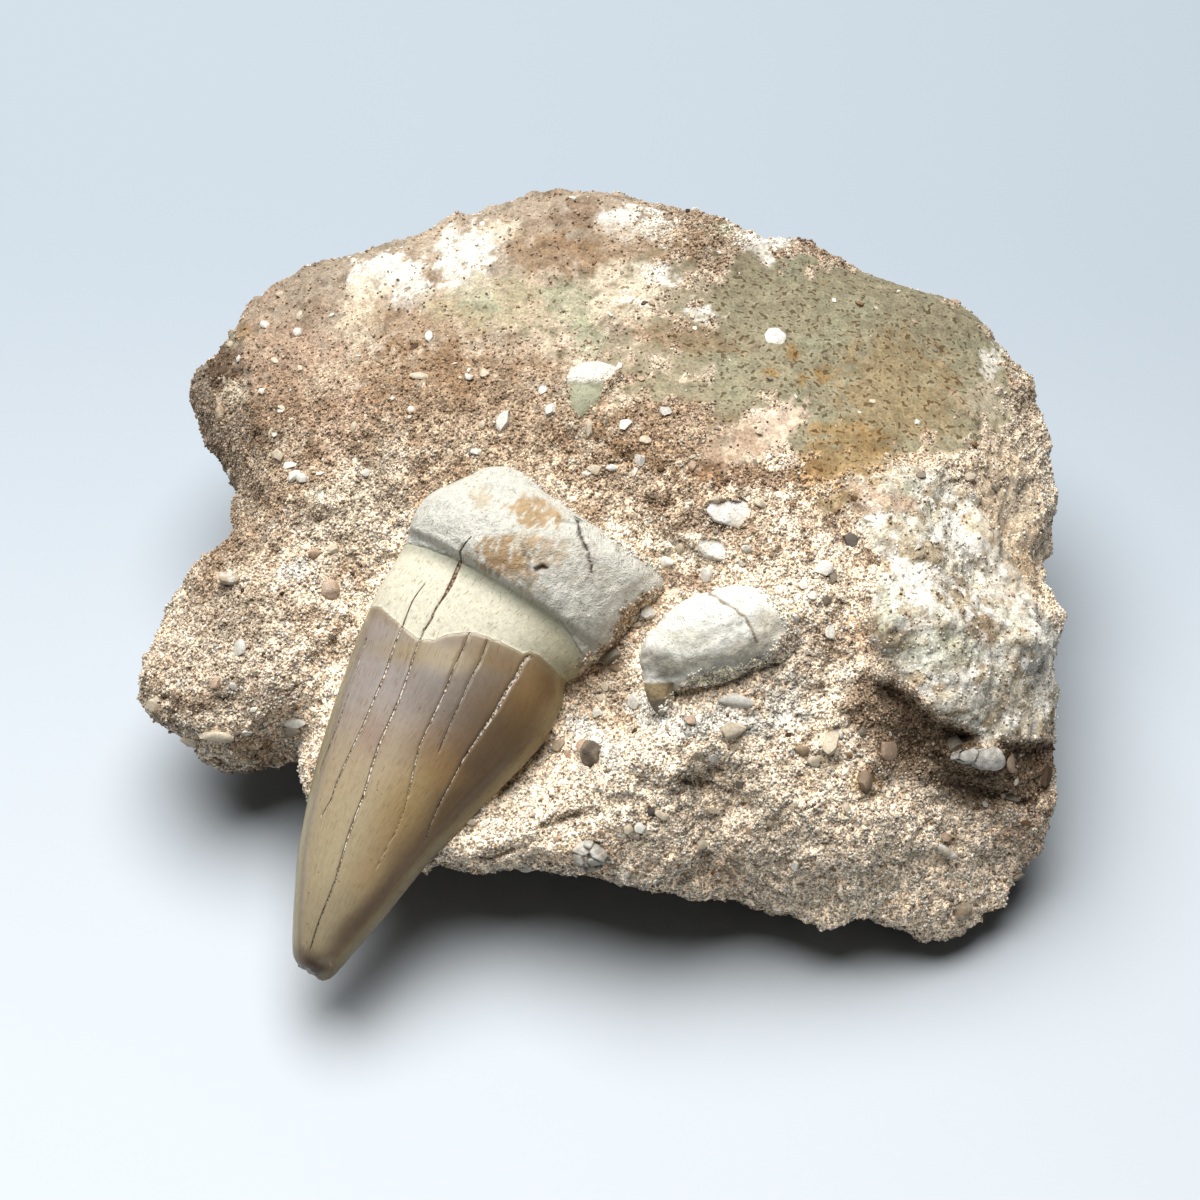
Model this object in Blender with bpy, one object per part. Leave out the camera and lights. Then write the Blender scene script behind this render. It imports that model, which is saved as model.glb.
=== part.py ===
"""A fossil shark tooth in its block of sandy phosphate rock.

The block is one broken lump that stands on a small flat spot. The tooth lies on its sloping
front: the root is half buried, the crown lies in the surface and its point hangs free over
the edge. Beside it are a broken lobe of root with its small side cusp, a second very small
tooth, and the largest of the bone, shell and pebble fragments that the rock holds.

Lengths are in millimetres until a mesh is made. +X is to the right and +Y away from
whoever looks at the tooth. The origin is on the flat spot, under the block's middle.
"""

import math

import bmesh
import bpy
import numpy as np
from mathutils import Vector, noise

MM = 0.001
GAP = 0.3  # between a fossil and the pocket that holds it

# The block's widest line, seen from above and anticlockwise from the right: x, y and height.
BLOCK_CENTRE = (0.0, 5.0)
BLOCK_RIM = [
    (59, 6, 20), (61, 18, 24), (58, 30, 27), (53, 40.5, 30), (39, 46, 31.5), (25, 52, 34),
    (8, 57, 36.5), (-8, 57.5, 36.5), (-25, 53.5, 35), (-40, 50, 33), (-50, 44.5, 30),
    (-56.5, 36, 28), (-55.5, 28, 27), (-50.5, 20.5, 25), (-48.5, 12.5, 22.5),
    (-51, 7, 22), (-56, 3, 21), (-58.5, -4, 19), (-60, -12, 17), (-58.5, -17, 16),
    (-53, -19.5, 15), (-46, -19.5, 14), (-41, -18, 14), (-38.5, -21, 13), (-38, -28, 12.5),
    (-35, -33, 13), (-28, -35.5, 15), (-21, -37, 17.5), (-8, -38, 17), (4, -39.5, 14.5),
    (14, -39, 14), (24, -41, 11.5), (33, -42.5, 7.5), (43, -42.5, 3.5), (51.5, -38.5, 5),
    (57, -32, 9), (58, -22, 14), (59.5, -8, 18),
]  # fmt: skip
# How sharply the block's walls turn over into its top and its underside.
WALL_POWER = 13.0
RING_POINTS = 250
WALL_STEPS = 24
FLOOR_STEPS = 60
BLOCK_DECIMATE = 0.050

# Heights of the block's top surface: x, y and height.
TOP_SPOTS = [
    # along the far edge, from left to right
    (-52, 39, 33), (-42, 47, 37.5), (-25, 51, 43), (-8, 55, 45), (14, 54, 45.5), (38, 45, 42),
    (51, 38.5, 38.5), (58, 28, 35.5), (59, 15, 32),
    # the high middle
    (-44, 24, 36), (-32, 19, 41), (-27, 35, 42), (0, 34, 45.5), (26, 30, 44), (44, 22, 39.5),
    (-12, 18, 44.5), (8, 14, 46), (27, 12, 43.5), (33, 7, 40.5), (48, 10, 38), (14, 0, 44),
    (25, -3, 42), (20, -10, 41),
    # the left lobe
    (-47, 9, 32.5), (-34, 4, 36.5), (-47, -5, 29), (-38, -9, 30), (-53, -14, 25),
    (-45, -17, 24.5), (-39, -17, 24),
    # the lower front, from left to right
    (8, -30, 32), (20, -24, 34), (30, -20, 34), (0, -35, 27.5), (13, -36, 27), (24, -37, 25),
    (37, -37, 20), (49, -34, 14), (33, -27, 29), (44, -30, 24), (54, -26, 19), (50, -14, 30),
    (58, -2, 27), (43, -14, 33), (42, 0, 37),
]  # fmt: skip

# Heights of the block's underside. Below 0 it is cut off flat.
UNDER_SPOTS = [
    (2, 4, -3), (25, 2, -3), (14, -18, -1.5), (34, -20, -1.5), (28, 22, -1.5), (6, 25, -1.5),
    (-10, 8, -1), (-20, -8, 3.5), (-28, 2, 4), (-40, -12, 8), (-51, -10, 10.5), (-45, 10, 9),
    (-50, 30, 14), (-30, 36, 9), (-2, 48, 12), (30, 42, 11), (50, 24, 10), (54, 0, 7.5),
    (50, -28, 5), (43, -37, 2), (26, -37, 5), (0, -34, 8.5), (-20, -32, 9.5), (-33, -28, 8.5),
]  # fmt: skip

# The raised pale lump at the right, in plan, and how far its edge stands over the front.
LUMP_OUTLINE = [
    (31, 3), (37, 7), (46, 7), (50, 1), (56, -8), (60, -12), (61, -25), (55, -29),
    (48, -30), (40, -27), (34, -21), (32.5, -14), (33, -6),
]  # fmt: skip
LUMP_EDGE_WIDTH = 1.6
LUMP_BACK_RISE, LUMP_FRONT_RISE = 2.2, 7.0
LUMP_BACK_Y, LUMP_FRONT_Y = 5.0, -26.0

# Hollows (negative) and swells of the top: x, y, reach along x and y, and height.
SWELLS = [
    ("hollow under the lump's ledge", 37.0, -30.5, 8.0, 3.5, -3.2),
    ("shelf under the ledge's right end", 50.0, -33.5, 7.0, 2.5, -1.5),
    ("hollow between the root and the side cusp", 3.0, -25.0, 4.0, 3.5, -2.2),
    ("hollow left of the root", -31.0, 8.0, 5.0, 7.0, -1.6),
    ("bank behind the root", -6.0, 12.0, 9.0, 4.0, 1.0),
    ("hollow at the left shoulder", -51.5, 26.0, 4.5, 4.5, -2.0),
    ("bank right of the side cusp", 27.0, -15.0, 4.0, 6.0, 1.6),
    ("swell on the lower front", 10.0, -34.0, 8.0, 4.0, 1.2),
]

# Roughness of the weathered top: wavelength and height of the noise.
ROUGHNESS = [(17.0, 1.4), (7.0, 0.6)]
# Where rock broke it shows small flat faces: their size, their steepness and how far
# this goes on the top compared with the walls.
CHIPS = [(12.0, 0.30), (6.0, 0.26)]
CHIPS_ON_TOP = 0.25
CHIPS_ON_LUMP = 0.8
BED_THICKNESS, BED_RELIEF = 4.2, 1.0

# Larger flat breaks: a point of each, the way it faces, and how flat it is.
BREAKS = [
    ((0.0, 56.0, 20.0), (0.10, 1.0, -0.25), 0.7),
    ((-38.0, 47.0, 18.0), (-0.55, 0.8, -0.30), 0.75),
    ((44.0, 44.0, 18.0), (0.65, 0.75, -0.25), 0.75),
    ((59.0, 0.0, 12.0), (1.0, 0.05, -0.22), 0.75),
    ((56.0, -26.0, 5.0), (0.9, -0.35, -0.45), 0.75),
    ((-54.0, 30.0, 18.0), (-1.0, 0.15, -0.40), 0.7),
    ((-57.0, -8.0, 11.0), (-0.85, -0.10, -0.60), 0.7),
    ((-30.0, -34.0, 9.5), (-0.30, -0.75, -0.60), 0.7),
    ((-5.0, -37.0, 9.0), (-0.12, -0.80, -0.60), 0.7),
    ((-12.0, 45.0, 9.0), (-0.10, 0.45, -0.90), 0.7),
]

# The tooth's own axes, as directions in the block's frame. Its plane holds both cutting edges.
TOOTH_POINT = Vector((-35.0, -49.8, 10.0))
ENAMEL_CENTRE = Vector((-16.7, -12.2, 29.0))
TOOTH_FACES = Vector((-0.15, -0.5, 0.85))

# Sections of the tooth from its worn point to the top of its root: distance along the tooth
# from the enamel's edge, left and right reach, height of the visible and the buried face
# over the tooth's plane, how lens-like the section is (1 is an ellipse), and its slant.
TOOTH_SECTIONS = [
    (-46.3, -1.4, 1.2, 0.6, -0.4, 1.0, 0.0),
    (-45.7, -2.8, 2.0, 1.8, -1.1, 0.9, 0.0),
    (-44.4, -3.9, 2.6, 2.5, -1.5, 1.05, 0.0),
    (-41.5, -5.3, 3.5, 3.2, -1.7, 1.3, 0.0),
    (-37.5, -6.9, 4.8, 3.8, -1.9, 1.35, 0.0),
    (-33.0, -8.6, 6.0, 4.4, -2.1, 1.4, 0.0),
    (-28.0, -9.9, 7.4, 4.9, -2.3, 1.4, 0.0),
    (-22.5, -11.1, 9.4, 5.4, -2.4, 1.4, 0.0),
    (-17.0, -12.0, 11.5, 5.9, -2.6, 1.4, 0.0),
    (-12.0, -12.6, 13.4, 6.3, -2.7, 1.4, 0.0),
    (-7.5, -13.0, 14.6, 6.6, -2.8, 1.3, 0.0),
    (-3.5, -13.3, 14.7, 6.8, -2.9, 1.2, 0.02),
    (0.0, -13.3, 14.0, 6.9, -3.1, 1.0, 0.06),
    (2.8, -12.9, 15.2, 6.9, -3.4, 0.9, 0.12),
    (5.4, -12.6, 16.2, 6.8, -3.8, 0.85, 0.17),
    (6.9, -12.6, 17.0, 7.0, -4.1, 0.85, 0.18),
    (7.7, -12.8, 17.6, 9.0, -4.3, 0.8, 0.17),
    (10.0, -12.8, 18.6, 9.9, -4.5, 0.8, 0.13),
    (12.6, -12.6, 19.6, 10.0, -4.6, 0.8, 0.08),
    (15.2, -11.9, 21.2, 9.2, -4.5, 0.85, 0.03),
    (17.2, -10.6, 19.4, 7.9, -4.2, 0.85, 0.0),
    (19.0, -8.8, 10.0, 6.8, -3.6, 0.9, 0.0),
    (20.8, -7.2, 2.6, 5.4, -2.6, 0.9, 0.0),
    (21.9, -5.2, 0.2, 3.8, -1.2, 1.0, 0.0),
]  # fmt: skip
SECTION_POINTS = 30

# The block's surface round the tooth, in the tooth's own directions: along, across, height.
BED_SPOTS = [
    (-27, -14, -2.5), (-20, -15, -1.4), (-10, -16, -1.0), (0, -16.5, -0.3), (8, -15, 1.2),
    (15, -14, 2.4), (21, -10, 3.0), (25, -3, 3.2), (22.5, 7, 4.0), (21.5, 15, 4.2),
    (18, 25, 3.8), (12, 22.5, 2.4), (4, 19.5, 0.6), (-4, 17.5, -1.0), (-12, 16.5, -1.3),
    (-18, 13.5, -1.0), (-25, 10, 0.6), (-20, 0, 0), (0, 0, 0), (12, 2, 2),
]  # fmt: skip

# The broken root lobe beside the tooth, with its side cusp: its middle, its long direction
# and the way it faces, then sections along it: along, near and far reach, top, underside.
LOBE_CENTRE = Vector((15.0, -18.5, 36.3))
LOBE_ALONG = Vector((1.0, 0.10, -0.02))
LOBE_FACES = Vector((0.0, -0.5, 0.87))
LOBE_SECTIONS = [
    (-10.3, -2.6, -1.2, 0.6, -1.0, 1.0, 0.0),
    (-9.5, -4.4, 1.0, 2.0, -2.4, 1.0, 0.0),
    (-7.6, -5.6, 2.8, 3.5, -3.2, 0.9, 0.0),
    (-5.0, -6.2, 4.7, 4.9, -3.6, 0.9, 0.0),
    (-2.0, -6.0, 6.0, 5.6, -3.8, 0.9, 0.0),
    (1.5, -5.2, 6.6, 5.5, -3.8, 0.9, 0.0),
    (4.6, -4.4, 6.3, 4.9, -3.6, 0.9, 0.0),
    (7.2, -3.5, 5.0, 3.9, -3.2, 0.9, 0.0),
    (9.0, -2.2, 3.2, 2.6, -2.4, 1.0, 0.0),
    (9.9, -0.8, 1.8, 1.0, -1.2, 1.0, 0.0),
]
LOBE_SECTION_POINTS = 22
CUSP_ROOT = (-8.4, -4.0, 0.7)
CUSP_SECTIONS = [
    (0.0, 1.8, 1.6), (1.6, 1.7, 1.4), (3.0, 1.5, 1.2), (4.2, 1.1, 0.8), (4.8, 0.6, 0.4),
]  # fmt: skip
CUSP_SECTION_POINTS = 12

# The very small tooth on the crest: where its enamel meets its root, and its sections.
SMALL_TOOTH_CENTRE = Vector((-1.6, 15.0, 45.6))
SMALL_TOOTH_ALONG = Vector((0.22, 0.93, 0.04))
SMALL_TOOTH_FACES = Vector((0.0, -0.12, 1.0))
SMALL_TOOTH_SECTIONS = [
    (-4.4, -0.5, 0.4, 0.3, -0.4, 1.0, 0.0),
    (-3.6, -1.2, 0.9, 0.6, -0.9, 1.0, 0.0),
    (-1.8, -2.1, 1.9, 1.0, -1.4, 1.0, 0.0),
    (0.0, -2.9, 2.9, 1.2, -1.7, 0.9, 0.0),
    (1.1, -3.3, 3.4, 1.9, -1.9, 0.8, 0.0),
    (2.8, -3.2, 4.2, 2.0, -1.9, 0.8, 0.0),
    (4.2, -2.2, 3.9, 1.5, -1.6, 0.9, 0.0),
    (5.0, -1.0, 2.2, 0.7, -0.9, 1.0, 0.0),
]
SMALL_TOOTH_SECTION_POINTS = 16

# Fragments in the surface: name, a point of the surface, the way it faces there, length,
# width and thickness, turn in degrees, share of the thickness that stands out of the
# rock, colour, roughness.
FRAGMENTS = [
    ("bone_fragment", (-1.2, -38.9, 19.4), (-0.1, -0.85, 0.5),
     4.6, 4.4, 4.0, 20, 0.45, (0.72, 0.70, 0.66), 0.8),
    ("grey_pebble", (46.4, -29.2, 26.4), (-0.05, -0.85, 0.5),
     5.6, 2.8, 3.0, -4, 0.45, (0.50, 0.47, 0.43), 0.45),
    ("shell_chip_upper", (16.3, -2.8, 42.4), (-0.1, -0.45, 0.9),
     6.0, 3.6, 2.0, -12, 0.45, (0.83, 0.76, 0.68), 0.6),
    ("shell_chip_lower", (14.4, -6.8, 39.6), (-0.2, -0.6, 0.75),
     5.0, 2.4, 1.6, -16, 0.45, (0.84, 0.75, 0.66), 0.6),
    ("white_chip", (23.0, 26.0, 44.6), (0.0, -0.1, 1.0),
     2.5, 2.5, 1.6, 10, 0.50, (0.90, 0.89, 0.86), 0.5),
    ("brown_pebble", (-1.0, -28.4, 26.0), (-0.1, -0.4, 0.9),
     3.2, 4.0, 3.0, 25, 0.42, (0.40, 0.31, 0.23), 0.5),
    ("pink_pebble", (-34.6, -5.2, 30.2), (0.1, -0.5, 0.85),
     2.5, 2.8, 2.4, 0, 0.42, (0.78, 0.64, 0.54), 0.7),
    ("rim_pebble", (45.8, -39.2, 7.7), (0.2, -0.85, 0.5),
     2.9, 3.0, 2.8, 30, 0.45, (0.80, 0.74, 0.66), 0.6),
    ("white_splinter", (43.3, -36.0, 16.0), (0.0, -0.8, 0.6),
     3.6, 1.2, 1.4, -50, 0.50, (0.88, 0.85, 0.80), 0.6),
    ("left_chip", (-47.9, -2.8, 29.8), (-0.1, -0.3, 0.95),
     3.0, 1.5, 1.5, -12, 0.50, (0.86, 0.82, 0.76), 0.6),
    ("edge_pebble", (-51.5, 26.7, 29.6), (-0.45, -0.45, 0.75),
     1.9, 3.0, 1.8, 5, 0.45, (0.84, 0.78, 0.71), 0.6),
]  # fmt: skip

BLOCK_COLOUR = (0.47, 0.36, 0.25)
ENAMEL_COLOUR = (0.42, 0.35, 0.27)
ROOT_COLOUR = (0.80, 0.76, 0.66)
SMALL_TOOTH_COLOUR = (0.55, 0.57, 0.45)


def clear_scene():
    for obj in list(bpy.data.objects):
        bpy.data.objects.remove(obj, do_unlink=True)


def material(name, colour, roughness):
    made = bpy.data.materials.new(name)
    made.use_nodes = True
    shader = made.node_tree.nodes["Principled BSDF"]
    shader.inputs["Base Color"].default_value = (*colour, 1.0)
    shader.inputs["Roughness"].default_value = roughness
    shader.inputs["Metallic"].default_value = 0.0
    return made


def object_from(name, bm, look, sharp_degrees=40.0):
    """A new object from a bmesh in millimetres, shaded smooth but for its sharp edges."""
    bmesh.ops.scale(bm, vec=(MM, MM, MM), verts=bm.verts)
    bmesh.ops.recalc_face_normals(bm, faces=bm.faces)
    mesh = bpy.data.meshes.new(name)
    bm.to_mesh(mesh)
    bm.free()
    mesh.materials.append(look)
    mesh.shade_smooth()
    mesh.set_sharp_from_angle(angle=math.radians(sharp_degrees))
    obj = bpy.data.objects.new(name, mesh)
    bpy.context.scene.collection.objects.link(obj)
    return obj


def smooth_step(share):
    share = np.clip(share, 0.0, 1.0)
    return share * share * (3.0 - 2.0 * share)


def smooth_surface(spots):
    """The thin-plate surface through spot heights: a function of two arrays, x and y."""
    spots = np.array(spots, float)
    places, heights = spots[:, :2], spots[:, 2]

    def bend(distance):
        return distance**2 * np.log(np.maximum(distance, 1e-9))

    count = len(spots)
    apart = np.linalg.norm(places[:, None] - places[None], axis=2)
    plane = np.column_stack([np.ones(count), places])
    system = np.zeros((count + 3, count + 3))
    system[:count, :count] = bend(apart)
    system[:count, count:] = plane
    system[count:, :count] = plane.T
    weights = np.linalg.solve(system, np.concatenate([heights, np.zeros(3)]))

    def height(x, y):
        total = weights[count] + weights[count + 1] * x + weights[count + 2] * y
        for (at_x, at_y), weight in zip(places, weights[:count], strict=True):
            total = total + weight * bend(np.hypot(x - at_x, y - at_y))
        return total

    return height


def closed_curve(points, steps):
    """A smooth closed line through the points, with this many steps between each two."""
    points = np.array(points, float)
    before, after = np.roll(points, 1, axis=0), np.roll(points, -1, axis=0)
    beyond = np.roll(points, -2, axis=0)
    line = []
    for step in range(steps):
        t = step / steps
        line.append(
            0.5
            * (
                2 * points
                + (after - before) * t
                + (2 * before - 5 * points + 4 * after - beyond) * t**2
                + (3 * points - 3 * after + beyond - before) * t**3
            )
        )
    return np.stack(line, axis=1).reshape(-1, points.shape[1])


def inside_distance(x, y, outline):
    """How far inside a closed outline each point lies. It is negative outside."""
    nearest = np.full(x.shape, 1e9)
    crossings = np.zeros(x.shape, int)
    ends = np.roll(outline, -1, axis=0)
    for (ax, ay), (bx, by) in zip(outline, ends, strict=True):
        run_x, run_y = bx - ax, by - ay
        share = ((x - ax) * run_x + (y - ay) * run_y) / (run_x**2 + run_y**2)
        share = np.clip(share, 0, 1)
        away = np.hypot(x - ax - share * run_x, y - ay - share * run_y)
        nearest = np.minimum(nearest, away)
        if ay != by:
            spans = (ay > y) != (by > y)
            crossings += spans & (x < ax + (y - ay) * run_x / run_y)
    return np.where(crossings % 2 == 1, nearest, -nearest)


def chips_at(points, size, seed):
    """Height of small flat faces at each point: a tilted plane for each random cell."""
    shift = Vector((seed * 31.7, seed * 12.9, seed * -23.3))
    heights = []
    for point in points:
        at = Vector(point) / size + shift
        away, middles = noise.voronoi(at)
        tilt = noise.cell_vector(middles[0] * 7.31) * 2.0 - Vector((1.0, 1.0, 1.0))
        inward = min(1.0, (away[1] - away[0]) / 0.22)
        heights.append((at - middles[0]).dot(tilt) * size * inward)
    return np.array(heights)


def noise_at(points, wavelength, seed):
    """Smooth noise from about -1 to 1 at each point."""
    shift = Vector((seed * 17.3, seed * -9.1, seed * 5.7))
    return np.array([noise.noise(Vector(p) / wavelength + shift) for p in points])


def tooth_axes():
    """The tooth's directions: from its point to its root, across it, and out of its face."""
    along = (ENAMEL_CENTRE - TOOTH_POINT).normalized()
    across = along.cross(TOOTH_FACES).normalized()
    return along, across, across.cross(along)


def axes_from(along, faces):
    along = along.normalized()
    across = along.cross(faces).normalized()
    return along, across, across.cross(along)


def place(centre, axes, along, across, height):
    return centre + axes[0] * along + axes[1] * across + axes[2] * height


def bed_spots():
    """Heights of the block's top round the tooth, as x, y and height."""
    axes = tooth_axes()
    return [tuple(place(ENAMEL_CENTRE, axes, *spot)) for spot in BED_SPOTS]


def top_surface():
    """The block's top as a function of x and y, with its lump, hollows and swells."""
    base = smooth_surface(TOP_SPOTS + bed_spots())
    lump_outline = closed_curve(LUMP_OUTLINE, 4)

    def height(x, y):
        z = base(x, y)
        for _, at_x, at_y, reach_x, reach_y, rise in SWELLS:
            away = ((x - at_x) / reach_x) ** 2 + ((y - at_y) / reach_y) ** 2
            z = z + rise * np.exp(-away)
        to_front = (y - LUMP_BACK_Y) / (LUMP_FRONT_Y - LUMP_BACK_Y)
        rise = LUMP_BACK_RISE + (LUMP_FRONT_RISE - LUMP_BACK_RISE) * smooth_step(to_front)
        wobble = 0.7 * np.sin(x * 0.9) * np.cos(y * 0.7)
        inside = inside_distance(x, y, lump_outline) + wobble
        return z + rise * smooth_step(0.5 + inside / LUMP_EDGE_WIDTH)

    return height


def block_rings():
    """Rows of points from the underside's middle, over the rim, to the top's middle."""
    rim = closed_curve(BLOCK_RIM, 12)
    bearing = np.arctan2(rim[:, 1] - BLOCK_CENTRE[1], rim[:, 0] - BLOCK_CENTRE[0])
    reach = np.hypot(rim[:, 0] - BLOCK_CENTRE[0], rim[:, 1] - BLOCK_CENTRE[1])
    angles = np.linspace(-math.pi, math.pi, RING_POINTS, endpoint=False)
    order = np.argsort(bearing)
    reach = np.interp(angles, bearing[order], reach[order], period=2 * math.pi)
    rim_height = np.interp(angles, bearing[order], rim[order, 2], period=2 * math.pi)
    top, under = top_surface(), smooth_surface(UNDER_SPOTS)

    turns = np.linspace(0, math.radians(75), WALL_STEPS)
    wall = [(math.cos(a) ** (2 / WALL_POWER), math.sin(a)) for a in turns]
    innermost = wall[-1][0]
    floor = [
        (innermost * (1 - k / FLOOR_STEPS), math.sqrt(1 - (innermost * (1 - k / FLOOR_STEPS)) ** WALL_POWER))
        for k in range(1, FLOOR_STEPS)
    ]
    profile = wall + floor

    def ring(surface, share, weight):
        x = BLOCK_CENTRE[0] + np.cos(angles) * reach * share
        y = BLOCK_CENTRE[1] + np.sin(angles) * reach * share
        z = rim_height + (surface(x, y) - rim_height) * weight
        return np.column_stack([x, y, z])

    below = [ring(under, share, weight) for share, weight in reversed(profile[1:])]
    above = [ring(top, share, weight) for share, weight in profile]
    poles = []
    for surface in (under, top):
        x, y = np.array([BLOCK_CENTRE[0]]), np.array([BLOCK_CENTRE[1]])
        poles.append((BLOCK_CENTRE[0], BLOCK_CENTRE[1], float(surface(x, y)[0])))
    return poles[0], below + above, poles[1]


def roughen(bm):
    """Moves the block's surface in and out as rock breaks, with beds along its walls."""
    for at, facing, flatness in BREAKS:
        facing = Vector(facing).normalized()
        for vert in bm.verts:
            beyond = (vert.co - Vector(at)).dot(facing)
            if beyond > 0:
                vert.co -= facing * beyond * flatness
    bm.normal_update()
    points = [v.co.copy() for v in bm.verts]
    outward = [v.normal.copy() for v in bm.verts]
    push = np.zeros(len(points))
    for seed, (wavelength, height) in enumerate(ROUGHNESS):
        push += height * noise_at(points, wavelength, seed)
    x, y = np.array([p.x for p in points]), np.array([p.y for p in points])
    facing_up = np.array([n.z for n in outward])
    on_lump = smooth_step(inside_distance(x, y, closed_curve(LUMP_OUTLINE, 4)) / 3.0 + 0.5)
    on_top = CHIPS_ON_TOP + (CHIPS_ON_LUMP - CHIPS_ON_TOP) * on_lump
    share = 1.0 - (1.0 - on_top) * smooth_step((facing_up - 0.55) / 0.3)
    for seed, (size, steepness) in enumerate(CHIPS):
        push += steepness * share * chips_at(points, size, seed + 3)
    flat = [Vector((p.x * 0.12, p.y * 0.12, p.z)) for p in points]
    beds = np.abs(noise_at(flat, BED_THICKNESS, 7)) * 2.0 - 0.6
    on_wall = np.array([max(0.0, 1.0 - abs(n.z) * 1.6) for n in outward])
    push += BED_RELIEF * beds * on_wall
    for vert, direction, amount in zip(bm.verts, outward, push, strict=True):
        vert.co += direction * float(amount)


def bridge_rings(bm, rings):
    """Joins each ring of vertices to the next one."""
    for lower, upper in zip(rings[:-1], rings[1:], strict=True):
        count = len(lower)
        for k in range(count):
            following = (k + 1) % count
            bm.faces.new((lower[k], lower[following], upper[following], upper[k]))


def fan(bm, ring, centre):
    tip = bm.verts.new(centre)
    count = len(ring)
    for k in range(count):
        bm.faces.new((ring[k], ring[(k + 1) % count], tip))


def block(look):
    """The lump of rock, before its pockets are cut."""
    bm = bmesh.new()
    lowest, rows, highest = block_rings()
    rings = [[bm.verts.new(p) for p in row] for row in rows]
    bridge_rings(bm, rings)
    fan(bm, rings[0], lowest)
    fan(bm, rings[-1], highest)
    bmesh.ops.recalc_face_normals(bm, faces=bm.faces)
    roughen(bm)
    obj = object_from("rock", bm, look, sharp_degrees=35.0)
    thin = obj.modifiers.new("fewer faces", "DECIMATE")
    thin.ratio = BLOCK_DECIMATE
    return obj


def lofted(bm, centre, axes, sections, count):
    """A closed body through sections: along, left, right, top, underside, lens, slant."""
    rings = []
    for along, left, right, top, under, lens, slant in sections:
        ring = []
        for k in range(count):
            turn = 2 * math.pi * k / count
            across = (left + right) / 2 + (right - left) / 2 * math.cos(turn)
            lift = abs(math.sin(turn)) ** lens
            height = (top if math.sin(turn) > 0 else under) * lift
            at = place(centre, axes, along - slant * across, across, height)
            ring.append(bm.verts.new(at))
        rings.append(ring)
    bridge_rings(bm, rings)
    bm.faces.new(rings[0])
    bm.faces.new(rings[-1])


def shark_tooth(look):
    """Crown and root in one, as it grew."""
    bm = bmesh.new()
    lofted(bm, ENAMEL_CENTRE, tooth_axes(), TOOTH_SECTIONS, SECTION_POINTS)
    return object_from("shark_tooth", bm, look)


def cusp(look, axes):
    """The side cusp, a small cone that grows out of the root lobe's near side."""
    bm = bmesh.new()
    foot = place(LOBE_CENTRE, axes, *CUSP_ROOT)
    outward = (-axes[1] + axes[0] * 0.06 - axes[2] * 0.10).normalized()
    across = outward.cross(axes[2]).normalized()
    up = across.cross(outward)
    rings = []
    for away, half_width, half_height in [(-2.0, 1.8, 1.6), *CUSP_SECTIONS]:
        ring = []
        for k in range(CUSP_SECTION_POINTS):
            turn = 2 * math.pi * k / CUSP_SECTION_POINTS
            side = across * (half_width * math.cos(turn)) + up * (half_height * math.sin(turn))
            ring.append(bm.verts.new(foot + outward * away + side))
        rings.append(ring)
    bridge_rings(bm, rings)
    bm.faces.new(rings[0])
    bm.faces.new(rings[-1])
    obj = object_from("cusp_to_join", bm, look)
    obj.hide_render = True
    obj.display_type = "WIRE"
    return obj


def side_cusp(look):
    """The broken lobe of root with its side cusp."""
    axes = axes_from(LOBE_ALONG, LOBE_FACES)
    axes = (axes[0], -axes[1], axes[2])
    bm = bmesh.new()
    lofted(bm, LOBE_CENTRE, axes, LOBE_SECTIONS, LOBE_SECTION_POINTS)
    obj = object_from("side_cusp", bm, look)
    join = obj.modifiers.new("cusp", "BOOLEAN")
    join.operation = "UNION"
    join.object = cusp(look, axes)
    return obj


def small_tooth(look):
    axes = axes_from(SMALL_TOOTH_ALONG, SMALL_TOOTH_FACES)
    bm = bmesh.new()
    lofted(bm, SMALL_TOOTH_CENTRE, axes, SMALL_TOOTH_SECTIONS, SMALL_TOOTH_SECTION_POINTS)
    return object_from("small_tooth", bm, look)


def fragment(name, at, facing, length, width, thickness, turn, proud, colour, roughness):
    """A worn chip or pebble that lies in the block's surface."""
    facing = Vector(facing).normalized()
    heading = Vector((math.cos(math.radians(turn)), math.sin(math.radians(turn)), 0.0))
    axes = axes_from(heading - facing * heading.dot(facing), facing)
    centre = Vector(at) + facing * thickness * (proud - 0.5)
    bm = bmesh.new()
    bmesh.ops.create_icosphere(bm, subdivisions=2, radius=0.5)
    for vert in bm.verts:
        lump = 1.0 + 0.22 * noise.noise(vert.co * 3.1 + centre)
        flat = vert.co * lump
        vert.co = place(centre, axes, flat.x * length, flat.y * width, flat.z * thickness)
    return object_from(name, bm, material(name, colour, roughness), sharp_degrees=30.0)


def pocket(fossil):
    """A cutter a little larger than a fossil, for the hollow that holds it."""
    graph = bpy.context.evaluated_depsgraph_get()
    mesh = bpy.data.meshes.new_from_object(fossil.evaluated_get(graph))
    bm = bmesh.new()
    bm.from_mesh(mesh)
    bmesh.ops.remove_doubles(bm, verts=bm.verts, dist=1e-6)
    bm.normal_update()
    moves = [v.normal * GAP * MM for v in bm.verts]
    for vert, move in zip(bm.verts, moves, strict=True):
        vert.co += move
    bm.to_mesh(mesh)
    bm.free()
    cutter = bpy.data.objects.new("pocket_" + fossil.name, mesh)
    bpy.context.scene.collection.objects.link(cutter)
    cutter.hide_render = True
    cutter.display_type = "WIRE"
    return cutter


def cut(obj, cutter):
    step = obj.modifiers.new(cutter.name, "BOOLEAN")
    step.operation = "DIFFERENCE"
    step.object = cutter


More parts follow.
